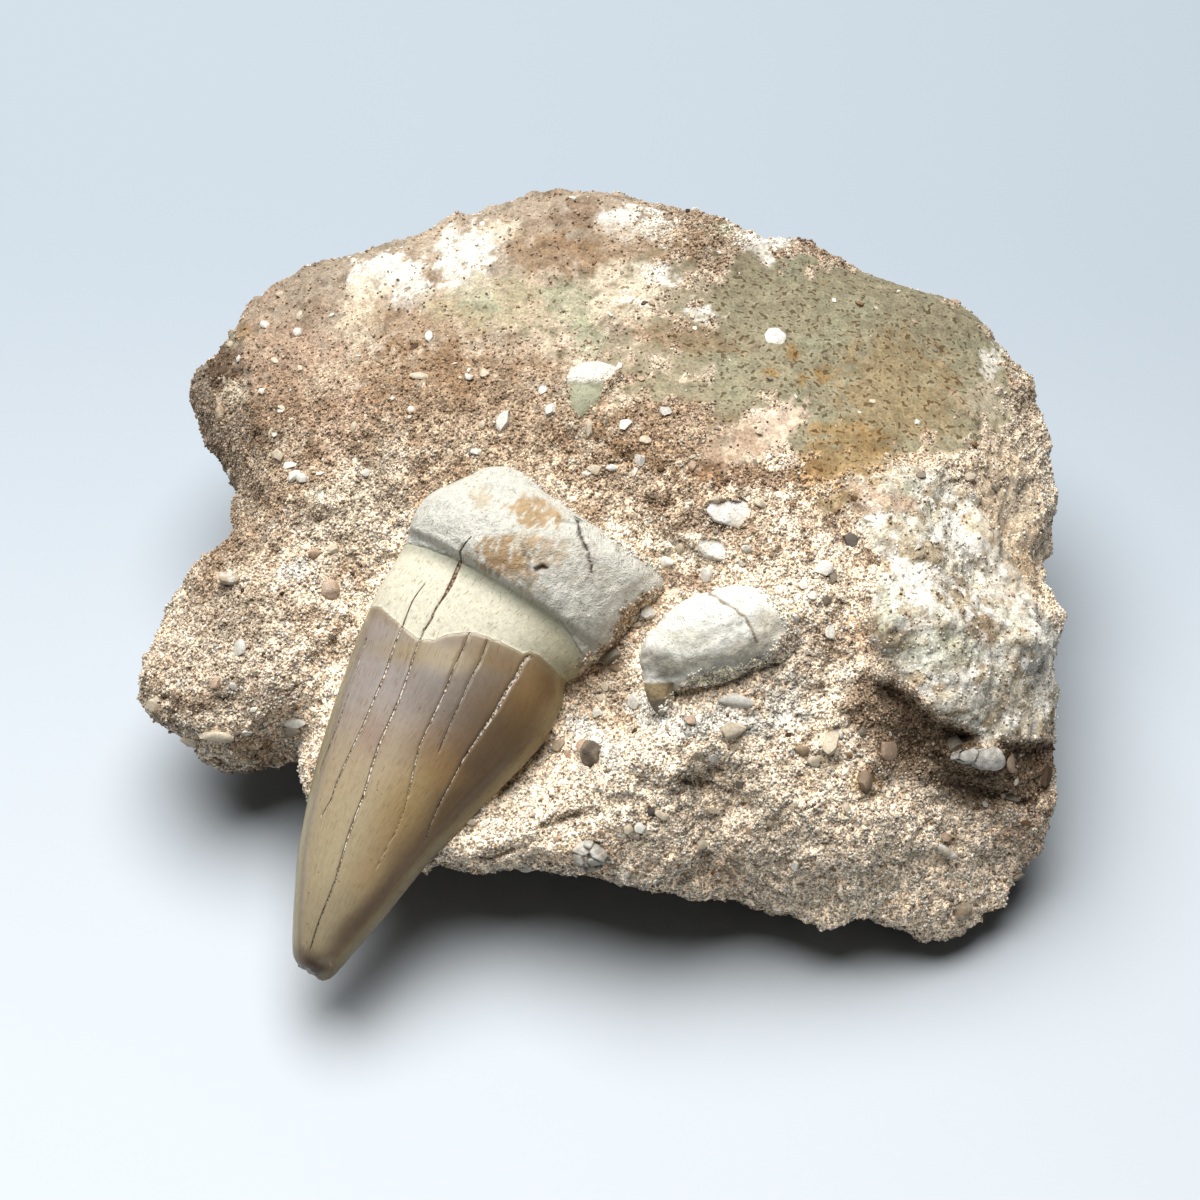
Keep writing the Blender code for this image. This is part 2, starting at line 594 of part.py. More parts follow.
def ground(look):
    """A box under the surface that the block stands on, to cut its flat spot."""
    bm = bmesh.new()
    bmesh.ops.create_cube(bm, size=200.0)
    bmesh.ops.translate(bm, vec=(0, 0, -100.0), verts=bm.verts)
    obj = object_from("ground_cutter", bm, look)
    obj.hide_render = True
    obj.display_type = "WIRE"
    return obj


def main():
    clear_scene()
    rock_look = material("phosphate rock", BLOCK_COLOUR, 0.9)
    rock = block(rock_look)
    cut(rock, ground(rock_look))
    fossils = [
        shark_tooth(material("tooth", ENAMEL_COLOUR, 0.3)),
        side_cusp(material("root bone", ROOT_COLOUR, 0.8)),
        small_tooth(material("small tooth", SMALL_TOOTH_COLOUR, 0.4)),
    ]
    fossils += [fragment(*row) for row in FRAGMENTS]
    for fossil in fossils:
        cut(rock, pocket(fossil))


main()
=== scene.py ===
"""The looks of a fossil shark tooth in its block of sandy phosphate rock.

Every length is in millimetres until a mesh is made. Places on the side that the photograph
shows are given in the photograph's pixels, 1200 across, as read off it: a point there is
followed along its line of sight down to the surface.
"""

import math
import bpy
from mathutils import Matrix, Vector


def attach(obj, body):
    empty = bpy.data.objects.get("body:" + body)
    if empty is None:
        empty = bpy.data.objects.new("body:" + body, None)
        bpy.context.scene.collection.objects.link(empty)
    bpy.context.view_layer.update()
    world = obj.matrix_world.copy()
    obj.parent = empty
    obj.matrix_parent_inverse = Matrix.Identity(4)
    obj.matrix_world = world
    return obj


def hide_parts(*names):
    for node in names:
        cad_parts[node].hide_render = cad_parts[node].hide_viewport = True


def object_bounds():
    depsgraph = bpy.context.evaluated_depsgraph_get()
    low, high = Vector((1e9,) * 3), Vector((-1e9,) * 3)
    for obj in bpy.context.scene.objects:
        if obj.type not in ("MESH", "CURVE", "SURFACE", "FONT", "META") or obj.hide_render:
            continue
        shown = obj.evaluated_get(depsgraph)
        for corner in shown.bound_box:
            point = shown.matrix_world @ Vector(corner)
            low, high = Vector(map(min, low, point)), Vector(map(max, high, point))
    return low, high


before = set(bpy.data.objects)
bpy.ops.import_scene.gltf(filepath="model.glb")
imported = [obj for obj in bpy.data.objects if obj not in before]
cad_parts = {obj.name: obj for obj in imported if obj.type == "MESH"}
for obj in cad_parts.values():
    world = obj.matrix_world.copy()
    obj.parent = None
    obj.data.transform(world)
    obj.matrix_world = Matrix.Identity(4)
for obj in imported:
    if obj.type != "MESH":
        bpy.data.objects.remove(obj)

from types import SimpleNamespace

import bmesh
import bpy
import numpy as np
from mathutils import Vector
from mathutils.bvhtree import BVHTree
from mathutils.kdtree import KDTree

MM = 0.001
CAD_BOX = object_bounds()
BOX_LOW, BOX_HIGH = np.array(CAD_BOX) / MM
SEED = 20

# Camera and light

VIEW_ELEVATION = math.radians(50.0)
VIEW_TARGET = np.array([0.0, 0.0, 22.0])
VIEW_DISTANCE = 360.0
VIEW_HALF_WIDTH = 79.0  # of what the frame shows at the target
PHOTO_MIDDLE = 600.0
SENSOR_WIDTH = 36.0
TO_CAMERA = np.array([0.0, -math.cos(VIEW_ELEVATION), math.sin(VIEW_ELEVATION)])
VIEW_UP = np.array([0.0, math.sin(VIEW_ELEVATION), math.cos(VIEW_ELEVATION)])
CAMERA_AT = VIEW_TARGET + TO_CAMERA * VIEW_DISTANCE
FOCAL_PIXELS = VIEW_DISTANCE / VIEW_HALF_WIDTH * PHOTO_MIDDLE

KEY_AT, KEY_AIM = (-110.0, 195.0, 770.0), (0.0, 0.0, 20.0)
KEY_SIZE, KEY_POWER = 860.0, 13.7
WORLD_COLOUR, WORLD_STRENGTH = (0.92, 0.96, 1.0), 0.07
CONTRAST = 0.88  # gamma of the picture
FLOOR_HALF = 4.0  # in metres
# Painted shade: the floor's colour goes darker towards the back and a little towards the right, as the
# light falls off.
FLOOR_NEAR, FLOOR_FAR = (0.565, 0.595, 0.62, 1.0), (0.375, 0.42, 0.46, 1.0)
FLOOR_FADE = 110.0  # its colour changes from this far in front to this far behind

# Colours, as seen, 0 to 255

TAN = (190, 166, 136)
BROWN = (150, 120, 88)
DARK_BROWN = (96, 74, 52)
RED_BROWN = (126, 92, 66)
GREY_SAND = (160, 150, 134)
CREAM = (226, 212, 188)
CHALK = (243, 238, 226)
PINK_TAN = (206, 180, 156)
CLAY = (190, 178, 148)
CLAY_GREEN = (182, 184, 156)
OCHRE = (176, 142, 92)
SHADE_GREY = (112, 104, 94)
PALE_GREEN = (206, 208, 186)


ALBEDO_SHARE = 0.8  # of the linear colour, so that a surface looks right in the key light


def albedo(colour):
    """Linear colour of a surface that looks like this sRGB colour in the studio's light."""
    value = np.array(colour, float) / 255.0
    linear = np.where(value <= 0.04045, value / 12.92, ((value + 0.055) / 1.055) ** 2.4)
    return linear * ALBEDO_SHARE


# Regions of the rock, in photo pixels

# Smooth clay, and the pale lump at the right.
CLAY_OUTLINE = [
    (720, 254), (760, 246), (790, 254), (815, 268), (850, 270), (905, 276), (925, 276),
    (955, 296), (980, 315), (998, 345), (1002, 385), (1000, 412), (986, 430), (965, 446),
    (940, 452), (925, 440), (900, 455), (880, 463), (860, 465), (845, 475), (840, 500),
    (832, 510), (828, 490), (815, 470), (800, 460), (795, 445), (800, 430), (790, 415),
    (765, 405), (745, 412), (725, 418), (700, 402), (655, 408), (640, 405), (632, 395),
    (635, 375), (660, 350), (700, 325), (715, 290),
]
WEAK_CLAY = [
    (455, 300), (480, 282), (520, 272), (560, 268), (610, 262), (660, 258), (725, 262),
    (725, 418), (655, 408), (625, 398), (600, 345), (560, 352), (520, 332), (470, 322),
]
LUMP_SEEN = [
    (842, 480), (890, 468), (936, 468), (972, 498), (1007, 550), (1030, 598), (1062, 633),
    (1064, 733), (983, 738), (936, 712), (913, 686), (890, 662), (872, 639), (872, 603),
    (880, 556), (850, 522),
]

# Patches of colour: x, y, reach across and up, turn in degrees, colour and strength. The dark ones at
# (658, 502), (810, 690), (700, 783) and (560, 822) lie over hollows and are painted shade.
PATCHES = [
    # top left
    (225, 372, 16, 24, 15, DARK_BROWN, 0.75), (235, 390, 12, 14, 0, CREAM, 0.7),
    (228, 331, 8, 12, 0, CLAY_GREEN, 0.6), (245, 330, 8, 7, 0, OCHRE, 0.5),
    (386, 274, 34, 18, -10, CHALK, 0.95), (408, 294, 30, 14, -5, CHALK, 0.9),
    (364, 312, 20, 34, 25, CREAM, 0.85), (470, 252, 34, 24, -20, CHALK, 0.9),
    (460, 290, 26, 12, 20, CHALK, 0.8), (310, 380, 60, 40, 30, (178, 148, 124), 0.5),
    (420, 320, 50, 26, 0, BROWN, 0.5), (250, 300, 40, 24, -30, PINK_TAN, 0.4),
    (500, 231, 22, 10, 10, CREAM, 0.7), (485, 285, 14, 8, 0, CHALK, 0.6),
    (490, 303, 54, 24, 0, CLAY, 0.75), (480, 305, 18, 8, 0, CLAY_GREEN, 0.6),
    (572, 303, 30, 19, 0, CLAY_GREEN, 0.55), (588, 338, 14, 18, 0, CLAY_GREEN, 0.55),
    (462, 408, 12, 9, 0, SHADE_GREY, 0.6), (340, 432, 38, 16, -55, PINK_TAN, 0.7),
    (312, 448, 11, 8, 0, DARK_BROWN, 0.5), (375, 495, 24, 26, 0, GREY_SAND, 0.6),
    (315, 494, 14, 8, 0, CREAM, 0.7), (280, 500, 30, 14, 20, BROWN, 0.5),
    (300, 350, 60, 40, -20, PINK_TAN, 0.3), (290, 400, 40, 30, 0, BROWN, 0.3),
    (555, 255, 50, 16, 5, BROWN, 0.6), (582, 212, 18, 13, 0, RED_BROWN, 0.45),
    (480, 410, 120, 60, 10, BROWN, 0.45), (420, 380, 60, 30, 0, BROWN, 0.35),
    (330, 380, 26, 18, 0, CREAM, 0.3),
    # top right
    (760, 232, 30, 20, 20, CHALK, 0.95), (640, 225, 34, 14, 10, CHALK, 0.8),
    (655, 275, 20, 12, 0, CHALK, 0.8), (625, 295, 34, 28, 0, CREAM, 0.8),
    (700, 314, 16, 5, 10, CHALK, 0.8), (630, 300, 16, 6, 0, CHALK, 0.6),
    (992, 360, 9, 16, 10, CHALK, 0.7), (990, 402, 30, 17, 0, CREAM, 0.6),
    (720, 230, 15, 6, 0, CLAY_GREEN, 0.7), (720, 250, 40, 14, 0, DARK_BROWN, 0.4),
    (690, 338, 50, 14, 8, BROWN, 0.5), (640, 242, 70, 16, 0, BROWN, 0.4),
    (1008, 520, 34, 70, -6, (224, 202, 172), 0.7), (1015, 500, 16, 20, 0, CREAM, 0.5),
    (772, 424, 36, 15, -30, (236, 216, 194), 0.9), (742, 447, 52, 15, -25, (232, 210, 186), 0.9),
    (715, 462, 26, 8, -10, (222, 196, 170), 0.7), (805, 640, 26, 22, 0, (232, 222, 206), 0.5),
    (735, 475, 56, 10, 5, RED_BROWN, 0.7), (815, 470, 14, 10, 40, RED_BROWN, 0.6),
    (658, 502, 12, 9, 0, SHADE_GREY, 0.6), (840, 465, 44, 36, -20, OCHRE, 0.65),
    (900, 390, 60, 50, 20, OCHRE, 0.35), (795, 358, 7, 6, 0, OCHRE, 0.8),
    (820, 375, 7, 6, 0, OCHRE, 0.8), (770, 372, 6, 5, 0, OCHRE, 0.7),
    (803, 380, 6, 5, 0, OCHRE, 0.7), (680, 440, 70, 34, 10, BROWN, 0.45),
    (640, 480, 70, 44, 30, BROWN, 0.4), (740, 530, 70, 34, 30, BROWN, 0.35),
    (690, 520, 30, 12, -20, SHADE_GREY, 0.35), (850, 600, 34, 60, 10, BROWN, 0.3),
    (820, 520, 30, 16, 20, RED_BROWN, 0.35), (1025, 580, 26, 22, 20, OCHRE, 0.4),
    # the middle and the lower front
    (600, 690, 36, 44, -20, BROWN, 0.6), (622, 615, 14, 34, 30, BROWN, 0.7),
    (690, 585, 40, 8, 8, RED_BROWN, 0.6), (663, 717, 36, 13, 28, CHALK, 1.0),
    (735, 722, 50, 14, 0, CHALK, 0.85), (790, 700, 18, 22, 0, CHALK, 0.7),
    (596, 742, 10, 34, -38, CHALK, 1.0), (660, 650, 20, 10, 0, GREY_SAND, 0.3),
    (810, 690, 16, 16, 0, SHADE_GREY, 0.45), (700, 783, 26, 16, 0, DARK_BROWN, 0.5),
    (620, 790, 60, 30, 0, GREY_SAND, 0.35), (770, 780, 60, 30, 10, CREAM, 0.35),
    (740, 840, 90, 26, 8, GREY_SAND, 0.45), (560, 822, 28, 6, -18, DARK_BROWN, 0.6),
    (640, 760, 60, 30, 0, CREAM, 0.3), (890, 815, 80, 34, 10, GREY_SAND, 0.35),
    (1030, 845, 18, 44, 12, PINK_TAN, 0.85), (865, 783, 14, 16, 0, OCHRE, 0.6),
    (810, 590, 40, 24, 10, CREAM, 0.35), (820, 640, 60, 20, 0, BROWN, 0.2),
    (480, 846, 70, 20, -10, CREAM, 0.35), (650, 860, 80, 18, 5, BROWN, 0.25),
    # the left lobe
    (235, 615, 50, 24, 0, GREY_SAND, 0.4), (215, 705, 60, 10, 0, GREY_SAND, 0.5),
    (345, 500, 34, 34, 0, CREAM, 0.4), (350, 535, 30, 20, 0, CREAM, 0.4),
    (190, 700, 20, 12, 0, RED_BROWN, 0.4), (300, 470, 34, 18, 0, BROWN, 0.4),
    (295, 568, 16, 9, -25, CHALK, 0.7), (250, 540, 40, 24, 0, BROWN, 0.35),
]

# Patches on the raised lump.
LUMP_PATCHES = [
    (968, 540, 22, 12, 35, CHALK, 0.95), (948, 497, 22, 5, 38, CHALK, 0.9),
    (976, 502, 20, 6, 62, CHALK, 0.9), (900, 500, 20, 10, 20, PINK_TAN, 0.7),
    (860, 498, 26, 16, 10, PINK_TAN, 0.7), (915, 578, 24, 14, 20, CHALK, 0.8),
    (1000, 580, 22, 18, 30, CHALK, 0.8), (1048, 650, 16, 50, 5, CHALK, 0.9),
    (910, 488, 12, 8, 0, PALE_GREEN, 0.6), (940, 650, 40, 22, 0, PALE_GREEN, 0.5),
    (985, 630, 18, 14, 0, BROWN, 0.45), (950, 580, 18, 10, 10, SHADE_GREY, 0.4),
    (925, 620, 24, 10, 0, GREY_SAND, 0.5), (1000, 700, 40, 16, 0, CREAM, 0.6),
    (970, 700, 26, 14, 10, CHALK, 0.6), (885, 610, 10, 24, 0, PALE_GREEN, 0.6),
    (1000, 655, 20, 14, 0, CHALK, 0.5), (905, 540, 24, 12, 0, CREAM, 0.5),
]

# The lump's lower edge, with the undercut below it, which is hollowed and also painted dark as painted
# shade, and how far that reaches in pixels.
LEDGE = [
    (826, 700), (842, 680), (866, 672), (893, 684), (915, 700), (938, 720), (985, 742),
    (1060, 744),
]
LEDGE_REACH, LEDGE_DEPTH = 84.0, 3.1
# The shaded area below the ledge, which is painted darker as painted shade.
LEDGE_SHADE = [
    (836, 692), (862, 674), (893, 686), (915, 702), (938, 722), (985, 746), (1050, 752),
    (1046, 800), (1000, 812), (955, 796), (915, 782), (880, 768), (862, 742), (846, 722),
]

# Hollows and holes in the surface: x, y, reach across and up, turn, depth in millimetres.
HOLLOWS = [
    (700, 783, 14, 6, 0, 1.1), (715, 770, 8, 5, 0, 0.7), (332, 641, 5, 5, 0, 0.9),
    (560, 821, 26, 4, -18, 0.9), (498, 853, 22, 4, -12, 1.0), (655, 503, 12, 6, 10, 0.6),
    (374, 492, 22, 28, 10, 0.9), (600, 696, 30, 34, -10, 0.5), (597, 672, 26, 5, -10, 0.6),
    (900, 745, 26, 14, 30, 0.8), (985, 792, 40, 6, 14, 1.0), (820, 692, 18, 8, 0, 0.5),
    (880, 690, 34, 10, 10, 0.5), (636, 626, 10, 6, -20, 0.5), (222, 700, 9, 4, 0, 0.5),
    (690, 792, 22, 5, 0, 0.6), (610, 640, 16, 14, 0, 0.5), (378, 568, 6, 8, 0, 0.4),
    (730, 560, 26, 4, 20, 0.4), (860, 545, 10, 6, 0, 0.3), (305, 745, 14, 10, 0, 0.5),
]

# The tooth

TOOTH_POINT = Vector((-35.0, -49.8, 10.0))
ENAMEL_CENTRE = Vector((-16.7, -12.2, 29.0))
TOOTH_FACES = Vector((-0.15, -0.5, 0.85))
# The same sections as the solid's: distance along from the enamel's edge, left and right reach,
# heights of the visible and the buried face, how lens-like the section is, and its slant.
TOOTH_SECTIONS = np.array([
    (-46.3, -1.4, 1.2, 0.6, -0.4, 1.0, 0.0),
    (-45.7, -2.8, 2.0, 1.8, -1.1, 0.9, 0.0),
    (-44.4, -3.9, 2.6, 2.5, -1.5, 1.05, 0.0),
    (-41.5, -5.3, 3.5, 3.2, -1.7, 1.3, 0.0),
    (-37.5, -6.9, 4.8, 3.8, -1.9, 1.35, 0.0),
    (-33.0, -8.6, 6.0, 4.4, -2.1, 1.4, 0.0),
    (-28.0, -9.9, 7.4, 4.9, -2.3, 1.4, 0.0),
    (-22.5, -11.1, 9.4, 5.4, -2.4, 1.4, 0.0),
    (-17.0, -12.0, 11.5, 5.9, -2.6, 1.4, 0.0),
    (-12.0, -12.6, 13.4, 6.3, -2.7, 1.4, 0.0),
    (-7.5, -13.0, 14.6, 6.6, -2.8, 1.3, 0.0),
    (-3.5, -13.3, 14.7, 6.8, -2.9, 1.2, 0.02),
    (0.0, -13.3, 14.0, 6.9, -3.1, 1.0, 0.06),
    (2.8, -12.9, 15.2, 6.9, -3.4, 0.9, 0.12),
    (5.4, -12.6, 16.2, 6.8, -3.8, 0.85, 0.17),
    (6.9, -12.6, 17.0, 7.0, -4.1, 0.85, 0.18),
    (7.7, -12.8, 17.6, 9.0, -4.3, 0.8, 0.17),
    (10.0, -12.8, 18.6, 9.9, -4.5, 0.8, 0.13),
    (12.6, -12.6, 19.6, 10.0, -4.6, 0.8, 0.08),
    (15.2, -11.9, 21.2, 9.2, -4.5, 0.85, 0.03),
    (17.2, -10.6, 19.4, 7.9, -4.2, 0.85, 0.0),
    (19.0, -8.8, 10.0, 6.8, -3.6, 0.9, 0.0),
    (20.8, -7.2, 2.6, 5.4, -2.6, 0.9, 0.0),
    (21.9, -5.2, 0.2, 3.8, -1.2, 1.0, 0.0),
])
TOOTH_ROW = 0.23  # between two rows of its mesh
TOOTH_COLUMNS, TOOTH_BACK_COLUMNS = 150, 36
FLANGE_LEFT, FLANGE_RIGHT = 1.5, 1.3

# Where enamel ends and where the root's step begins, in photo pixels, from left to right.
ENAMEL_EDGE = [
    (360, 596), (372, 601), (381, 608), (392, 618), (400, 625), (410, 633), (420, 640),
    (435, 640), (446, 635), (460, 633), (475, 633), (487, 637), (500, 642), (512, 648),
    (523, 654), (530, 652), (540, 656), (550, 665), (558, 674), (566, 686),
]
ROOT_EDGE = [
    (396, 536), (420, 545), (440, 552), (460, 560), (480, 570), (500, 582), (520, 592),
    (540, 603), (550, 612), (560, 620), (570, 633), (580, 650), (590, 664),
]

# Cracks in the crown, from left to right, each from top to bottom: x, y and width in mm.
CRACKS = [
    [(374, 596, 0.0), (366, 640, 0.16), (358, 665, 0.18), (350, 690, 0.12), (341, 716, 0.16),
     (332, 740, 0.14), (322, 764, 0.08), (314, 790, 0.0)],
    [(423, 588, 0.06), (409, 609, 0.12), (400, 632, 0.22), (390, 660, 0.36), (382, 682, 0.36),
     (372, 705, 0.32), (363, 727, 0.28), (355, 743, 0.24), (346, 762, 0.2), (337, 783, 0.2),
     (331, 800, 0.12), (323, 814, 0.06), (318, 830, 0.0)],
    [(470, 540, 0.2), (460, 557, 0.35), (456, 572, 0.6), (448, 590, 0.6), (440, 603, 0.25),
     (431, 620, 0.3), (423, 632, 0.26), (414, 655, 0.26), (407, 678, 0.3), (399, 700, 0.34),
     (388, 725, 0.34), (378, 748, 0.34), (371, 770, 0.34), (364, 795, 0.3), (356, 815, 0.26),
     (348, 838, 0.3), (342, 858, 0.22), (336, 880, 0.14), (328, 900, 0.16), (320, 920, 0.12),
     (312, 945, 0.08), (308, 960, 0.0)],
    [(470, 632, 0.06), (460, 655, 0.12), (451, 676, 0.24), (445, 692, 0.26), (436, 711, 0.26),
     (428, 728, 0.24), (419, 748, 0.22), (414, 770, 0.2), (409, 792, 0.22), (404, 812, 0.14),
     (396, 832, 0.08), (386, 850, 0.06), (376, 870, 0.05), (368, 890, 0.0)],
    [(490, 634, 0.0), (486, 645, 0.1), (476, 668, 0.14), (466, 688, 0.14), (456, 711, 0.14),
     (446, 734, 0.14), (440, 748, 0.1), (437, 757, 0.0)],
    [(532, 651, 0.5), (522, 664, 0.5), (512, 682, 0.5), (502, 700, 0.52), (492, 717, 0.46),
     (480, 735, 0.4), (470, 749, 0.3), (462, 762, 0.22), (454, 777, 0.2), (446, 792, 0.16),
     (438, 807, 0.14), (432, 822, 0.12), (427, 836, 0.08), (423, 848, 0.0)],
]

# Colours within the enamel: x, y, reach across and up, turn, colour, strength.
ENAMEL_PATCHES = [
    (385, 690, 60, 90, 20, (176, 164, 154), 0.9),
    (455, 690, 46, 60, 22, (140, 127, 113), 0.9),
    (400, 760, 70, 40, 20, (166, 146, 122), 0.5),
    (360, 800, 60, 70, 20, (188, 168, 134), 0.8),
    (345, 870, 46, 70, 18, (184, 168, 134), 0.9),
    (420, 800, 34, 44, 30, (176, 150, 104), 0.8),
    (385, 860, 26, 60, 25, (168, 140, 98), 0.6),
    (330, 925, 34, 34, 10, (160, 146, 116), 0.7),
    (500, 720, 36, 50, 30, (128, 106, 82), 0.85),
    (535, 700, 26, 40, 15, (152, 122, 82), 0.85),
    (520, 735, 40, 30, 0, (118, 98, 68), 0.6),
    (470, 780, 24, 50, 38, (116, 96, 74), 0.85),
    (430, 835, 16, 50, 38, (124, 102, 78), 0.8),
    (380, 900, 12, 44, 38, (122, 102, 84), 0.85),
    (350, 935, 14, 30, 38, (120, 102, 82), 0.7), (318, 969, 42, 17, 8, (92, 76, 62), 1.0),
    (328, 960, 9, 6, 0, (150, 138, 120), 0.8),
    (440, 745, 34, 22, 0, (138, 108, 76), 0.45),
    (445, 770, 20, 18, 0, (164, 130, 84), 0.5),
    (372, 735, 14, 18, 0, (160, 132, 118), 0.5),
    (430, 655, 50, 12, 8, (172, 152, 112), 0.7),
    (490, 655, 40, 10, 18, (150, 124, 86), 0.6),
    (550, 685, 12, 16, 0, (112, 88, 56), 0.5),
]

# Stains on the root, and greyish patches on its lower right and at the left end of its step, which are
# painted shade.
ROOT_STAINS_AND_SHADE = [
    (535, 512, 26, 14, 18, (212, 176, 126), 0.85), (520, 540, 20, 12, 0, (214, 190, 150), 0.4),
    (500, 555, 28, 16, 12, (204, 164, 110), 0.8), (545, 552, 24, 14, 0, (210, 176, 132), 0.7),
    (512, 572, 26, 10, 18, (190, 158, 118), 0.7), (530, 588, 12, 6, 0, (186, 150, 96), 0.6),
    (480, 500, 10, 12, 0, (222, 200, 160), 0.5), (470, 470, 30, 8, -25, (240, 232, 208), 0.4),
    (548, 598, 40, 8, 32, (216, 212, 196), 0.4), (592, 634, 24, 16, 40, (204, 200, 186), 0.4),
    (570, 560, 30, 24, 0, (224, 216, 200), 0.4), (600, 590, 30, 26, 0, (230, 222, 204), 0.4),
    (410, 533, 14, 8, 25, (206, 214, 214), 0.6), (430, 520, 26, 20, 20, (236, 234, 222), 0.5),
]

# Cracks and a pit in the root: the line in pixels, how wide it reaches, and its depth in mm.
ROOT_CRACKS = [
    ([(577, 518), (580, 534), (586, 548), (590, 560), (592, 573)], 2.0, 0.4),
    ([(536, 569), (541, 566), (545, 567)], 3.2, 0.5), ([(617, 545), (622, 560)], 1.6, 0.12),
    ([(630, 545), (645, 560), (660, 575)], 1.6, 0.12), ([(560, 520), (577, 524)], 1.6, 0.12),
    ([(520, 545), (530, 560), (528, 575)], 1.8, 0.15), ([(596, 560), (604, 590)], 1.4, 0.1),
]

# Grains and chips

GRAIN_COUNT = 57000
GRAIN_PIECES = 3
GRAIN_RADIUS = (0.11, 0.26)
GRAIN_MARGIN = 0.4  # kept clear inside the outer box
GRAIN_SPREAD = (300, 560, 760), (0.115, 0.14, 0.18)  # of their tones, by pixels down
LUMINANCE = np.array([0.3, 0.5, 0.2])
GRAIN_TONES = [
    (0.0, (94, 72, 54)), (0.25, (154, 127, 101)), (0.5, (199, 174, 147)),
    (0.75, (224, 208, 185)), (1.0, (246, 240, 228)),
]

# Chips in the surface: x, y, length and width in pixels, turn in degrees, colour.
CHIPS_SEEN = [
    (296, 476, 13, 8, 15, CHALK), (228, 578, 20, 7, -8, CHALK), (240, 650, 15, 11, 0, CHALK),
    (233, 686, 7, 6, 20, CHALK), (216, 684, 9, 8, 10, PINK_TAN), (333, 550, 10, 8, 0, CREAM),
    (315, 553, 12, 9, 10, PINK_TAN), (262, 392, 8, 6, 0, CHALK), (298, 332, 10, 8, 0, CHALK),
    (265, 325, 8, 6, 20, CHALK), (300, 316, 8, 6, 0, CREAM), (230, 345, 7, 6, 0, CREAM),
    (275, 362, 8, 6, 0, CREAM), (300, 370, 8, 6, 40, CREAM), (430, 336, 8, 10, 0, CHALK),
    (420, 376, 16, 6, 10, CREAM), (468, 377, 8, 6, 0, CHALK), (484, 374, 8, 7, 0, CREAM),
    (543, 391, 8, 7, 30, CHALK), (550, 411, 14, 8, 0, CHALK), (505, 423, 14, 15, 20, CHALK),
    (482, 425, 8, 6, 0, CREAM), (475, 452, 9, 6, 0, CHALK), (355, 428, 8, 10, 0, CREAM),
    (278, 455, 20, 8, 20, CREAM), (303, 478, 10, 7, 0, CHALK), (290, 466, 10, 7, 0, CHALK),
    (412, 410, 8, 6, 0, CHALK), (280, 295, 8, 6, 0, CREAM), (595, 470, 14, 8, 10, CREAM),
    (640, 460, 12, 8, 0, CHALK), (612, 468, 10, 6, 0, CHALK), (589, 474, 12, 6, -10, CHALK),
    (625, 425, 12, 8, 0, CHALK), (665, 412, 10, 8, 0, CHALK), (668, 562, 12, 9, -6, CHALK),
    (652, 594, 17, 9, 10, CHALK), (648, 614, 12, 16, 20, CHALK), (634, 625, 12, 6, 0, CREAM),
    (707, 573, 10, 12, 0, CHALK), (610, 655, 22, 12, 8, GREY_SAND), (617, 668, 14, 7, 15, (180, 160, 136)),
    (598, 712, 10, 8, 0, CHALK), (713, 757, 9, 8, 0, CHALK), (662, 815, 13, 6, 28, CREAM),
    (652, 811, 7, 8, 0, SHADE_GREY), (588, 748, 16, 12, -35, PINK_TAN), (462, 815, 12, 9, 0, CHALK),
    (470, 822, 10, 7, 20, CREAM), (735, 702, 30, 12, 5, CHALK), (735, 730, 22, 14, -10, CREAM),
    (600, 698, 9, 7, 0, CREAM), (635, 702, 14, 9, 35, CHALK), (690, 720, 14, 8, 0, PINK_TAN),
    (823, 570, 17, 14, 0, CHALK), (850, 541, 14, 12, 20, SHADE_GREY), (830, 633, 8, 13, 0, CHALK),
    (832, 742, 15, 20, 25, CREAM), (862, 732, 9, 6, 0, GREY_SAND),
    (888, 750, 21, 12, 6, PINK_TAN), (864, 782, 14, 15, 0, (150, 130, 108)), (803, 750, 14, 11, 20, TAN),
    (813, 762, 11, 9, 20, CREAM), (955, 744, 14, 12, 0, GREY_SAND), (1010, 764, 14, 8, 0, PINK_TAN),
    (1046, 776, 10, 14, 20, DARK_BROWN), (945, 838, 11, 7, 10, PINK_TAN), (840, 735, 8, 8, 0, CHALK),
    (846, 808, 9, 8, 0, CREAM), (795, 620, 8, 12, 0, CHALK), (797, 632, 7, 9, 0, CHALK),
    (770, 612, 9, 7, 0, CREAM), (812, 596, 9, 7, 0, CHALK), (802, 585, 10, 7, 30, CHALK),
    (826, 600, 10, 8, 20, GREY_SAND), (831, 575, 10, 12, 0, GREY_SAND), (870, 520, 12, 6, 0, CHALK),
    (1012, 798, 16, 6, 10, GREY_SAND), (770, 820, 10, 8, 0, CREAM), (700, 845, 12, 8, 0, CREAM),
    (795, 865, 8, 8, 0, CHALK), (628, 830, 10, 10, 0, CREAM), (560, 745, 12, 10, 20, (184, 164, 140)),
    (215, 736, 30, 9, 2, CREAM), (189, 741, 14, 7, -8, CREAM), (295, 723, 19, 8, 0, CHALK),
    (292, 731, 16, 9, 0, GREY_SAND), (247, 733, 8, 6, 0, CHALK), (158, 700, 8, 6, 0, CREAM),
    (590, 430, 9, 7, 0, CREAM), (645, 440, 10, 7, 20, CREAM), (715, 500, 10, 7, 0, CREAM),
    (746, 548, 10, 7, 20, CHALK), (760, 505, 11, 8, 0, CREAM), (680, 548, 9, 7, 0, CREAM),
]
SMALL_CHIPS = 1400

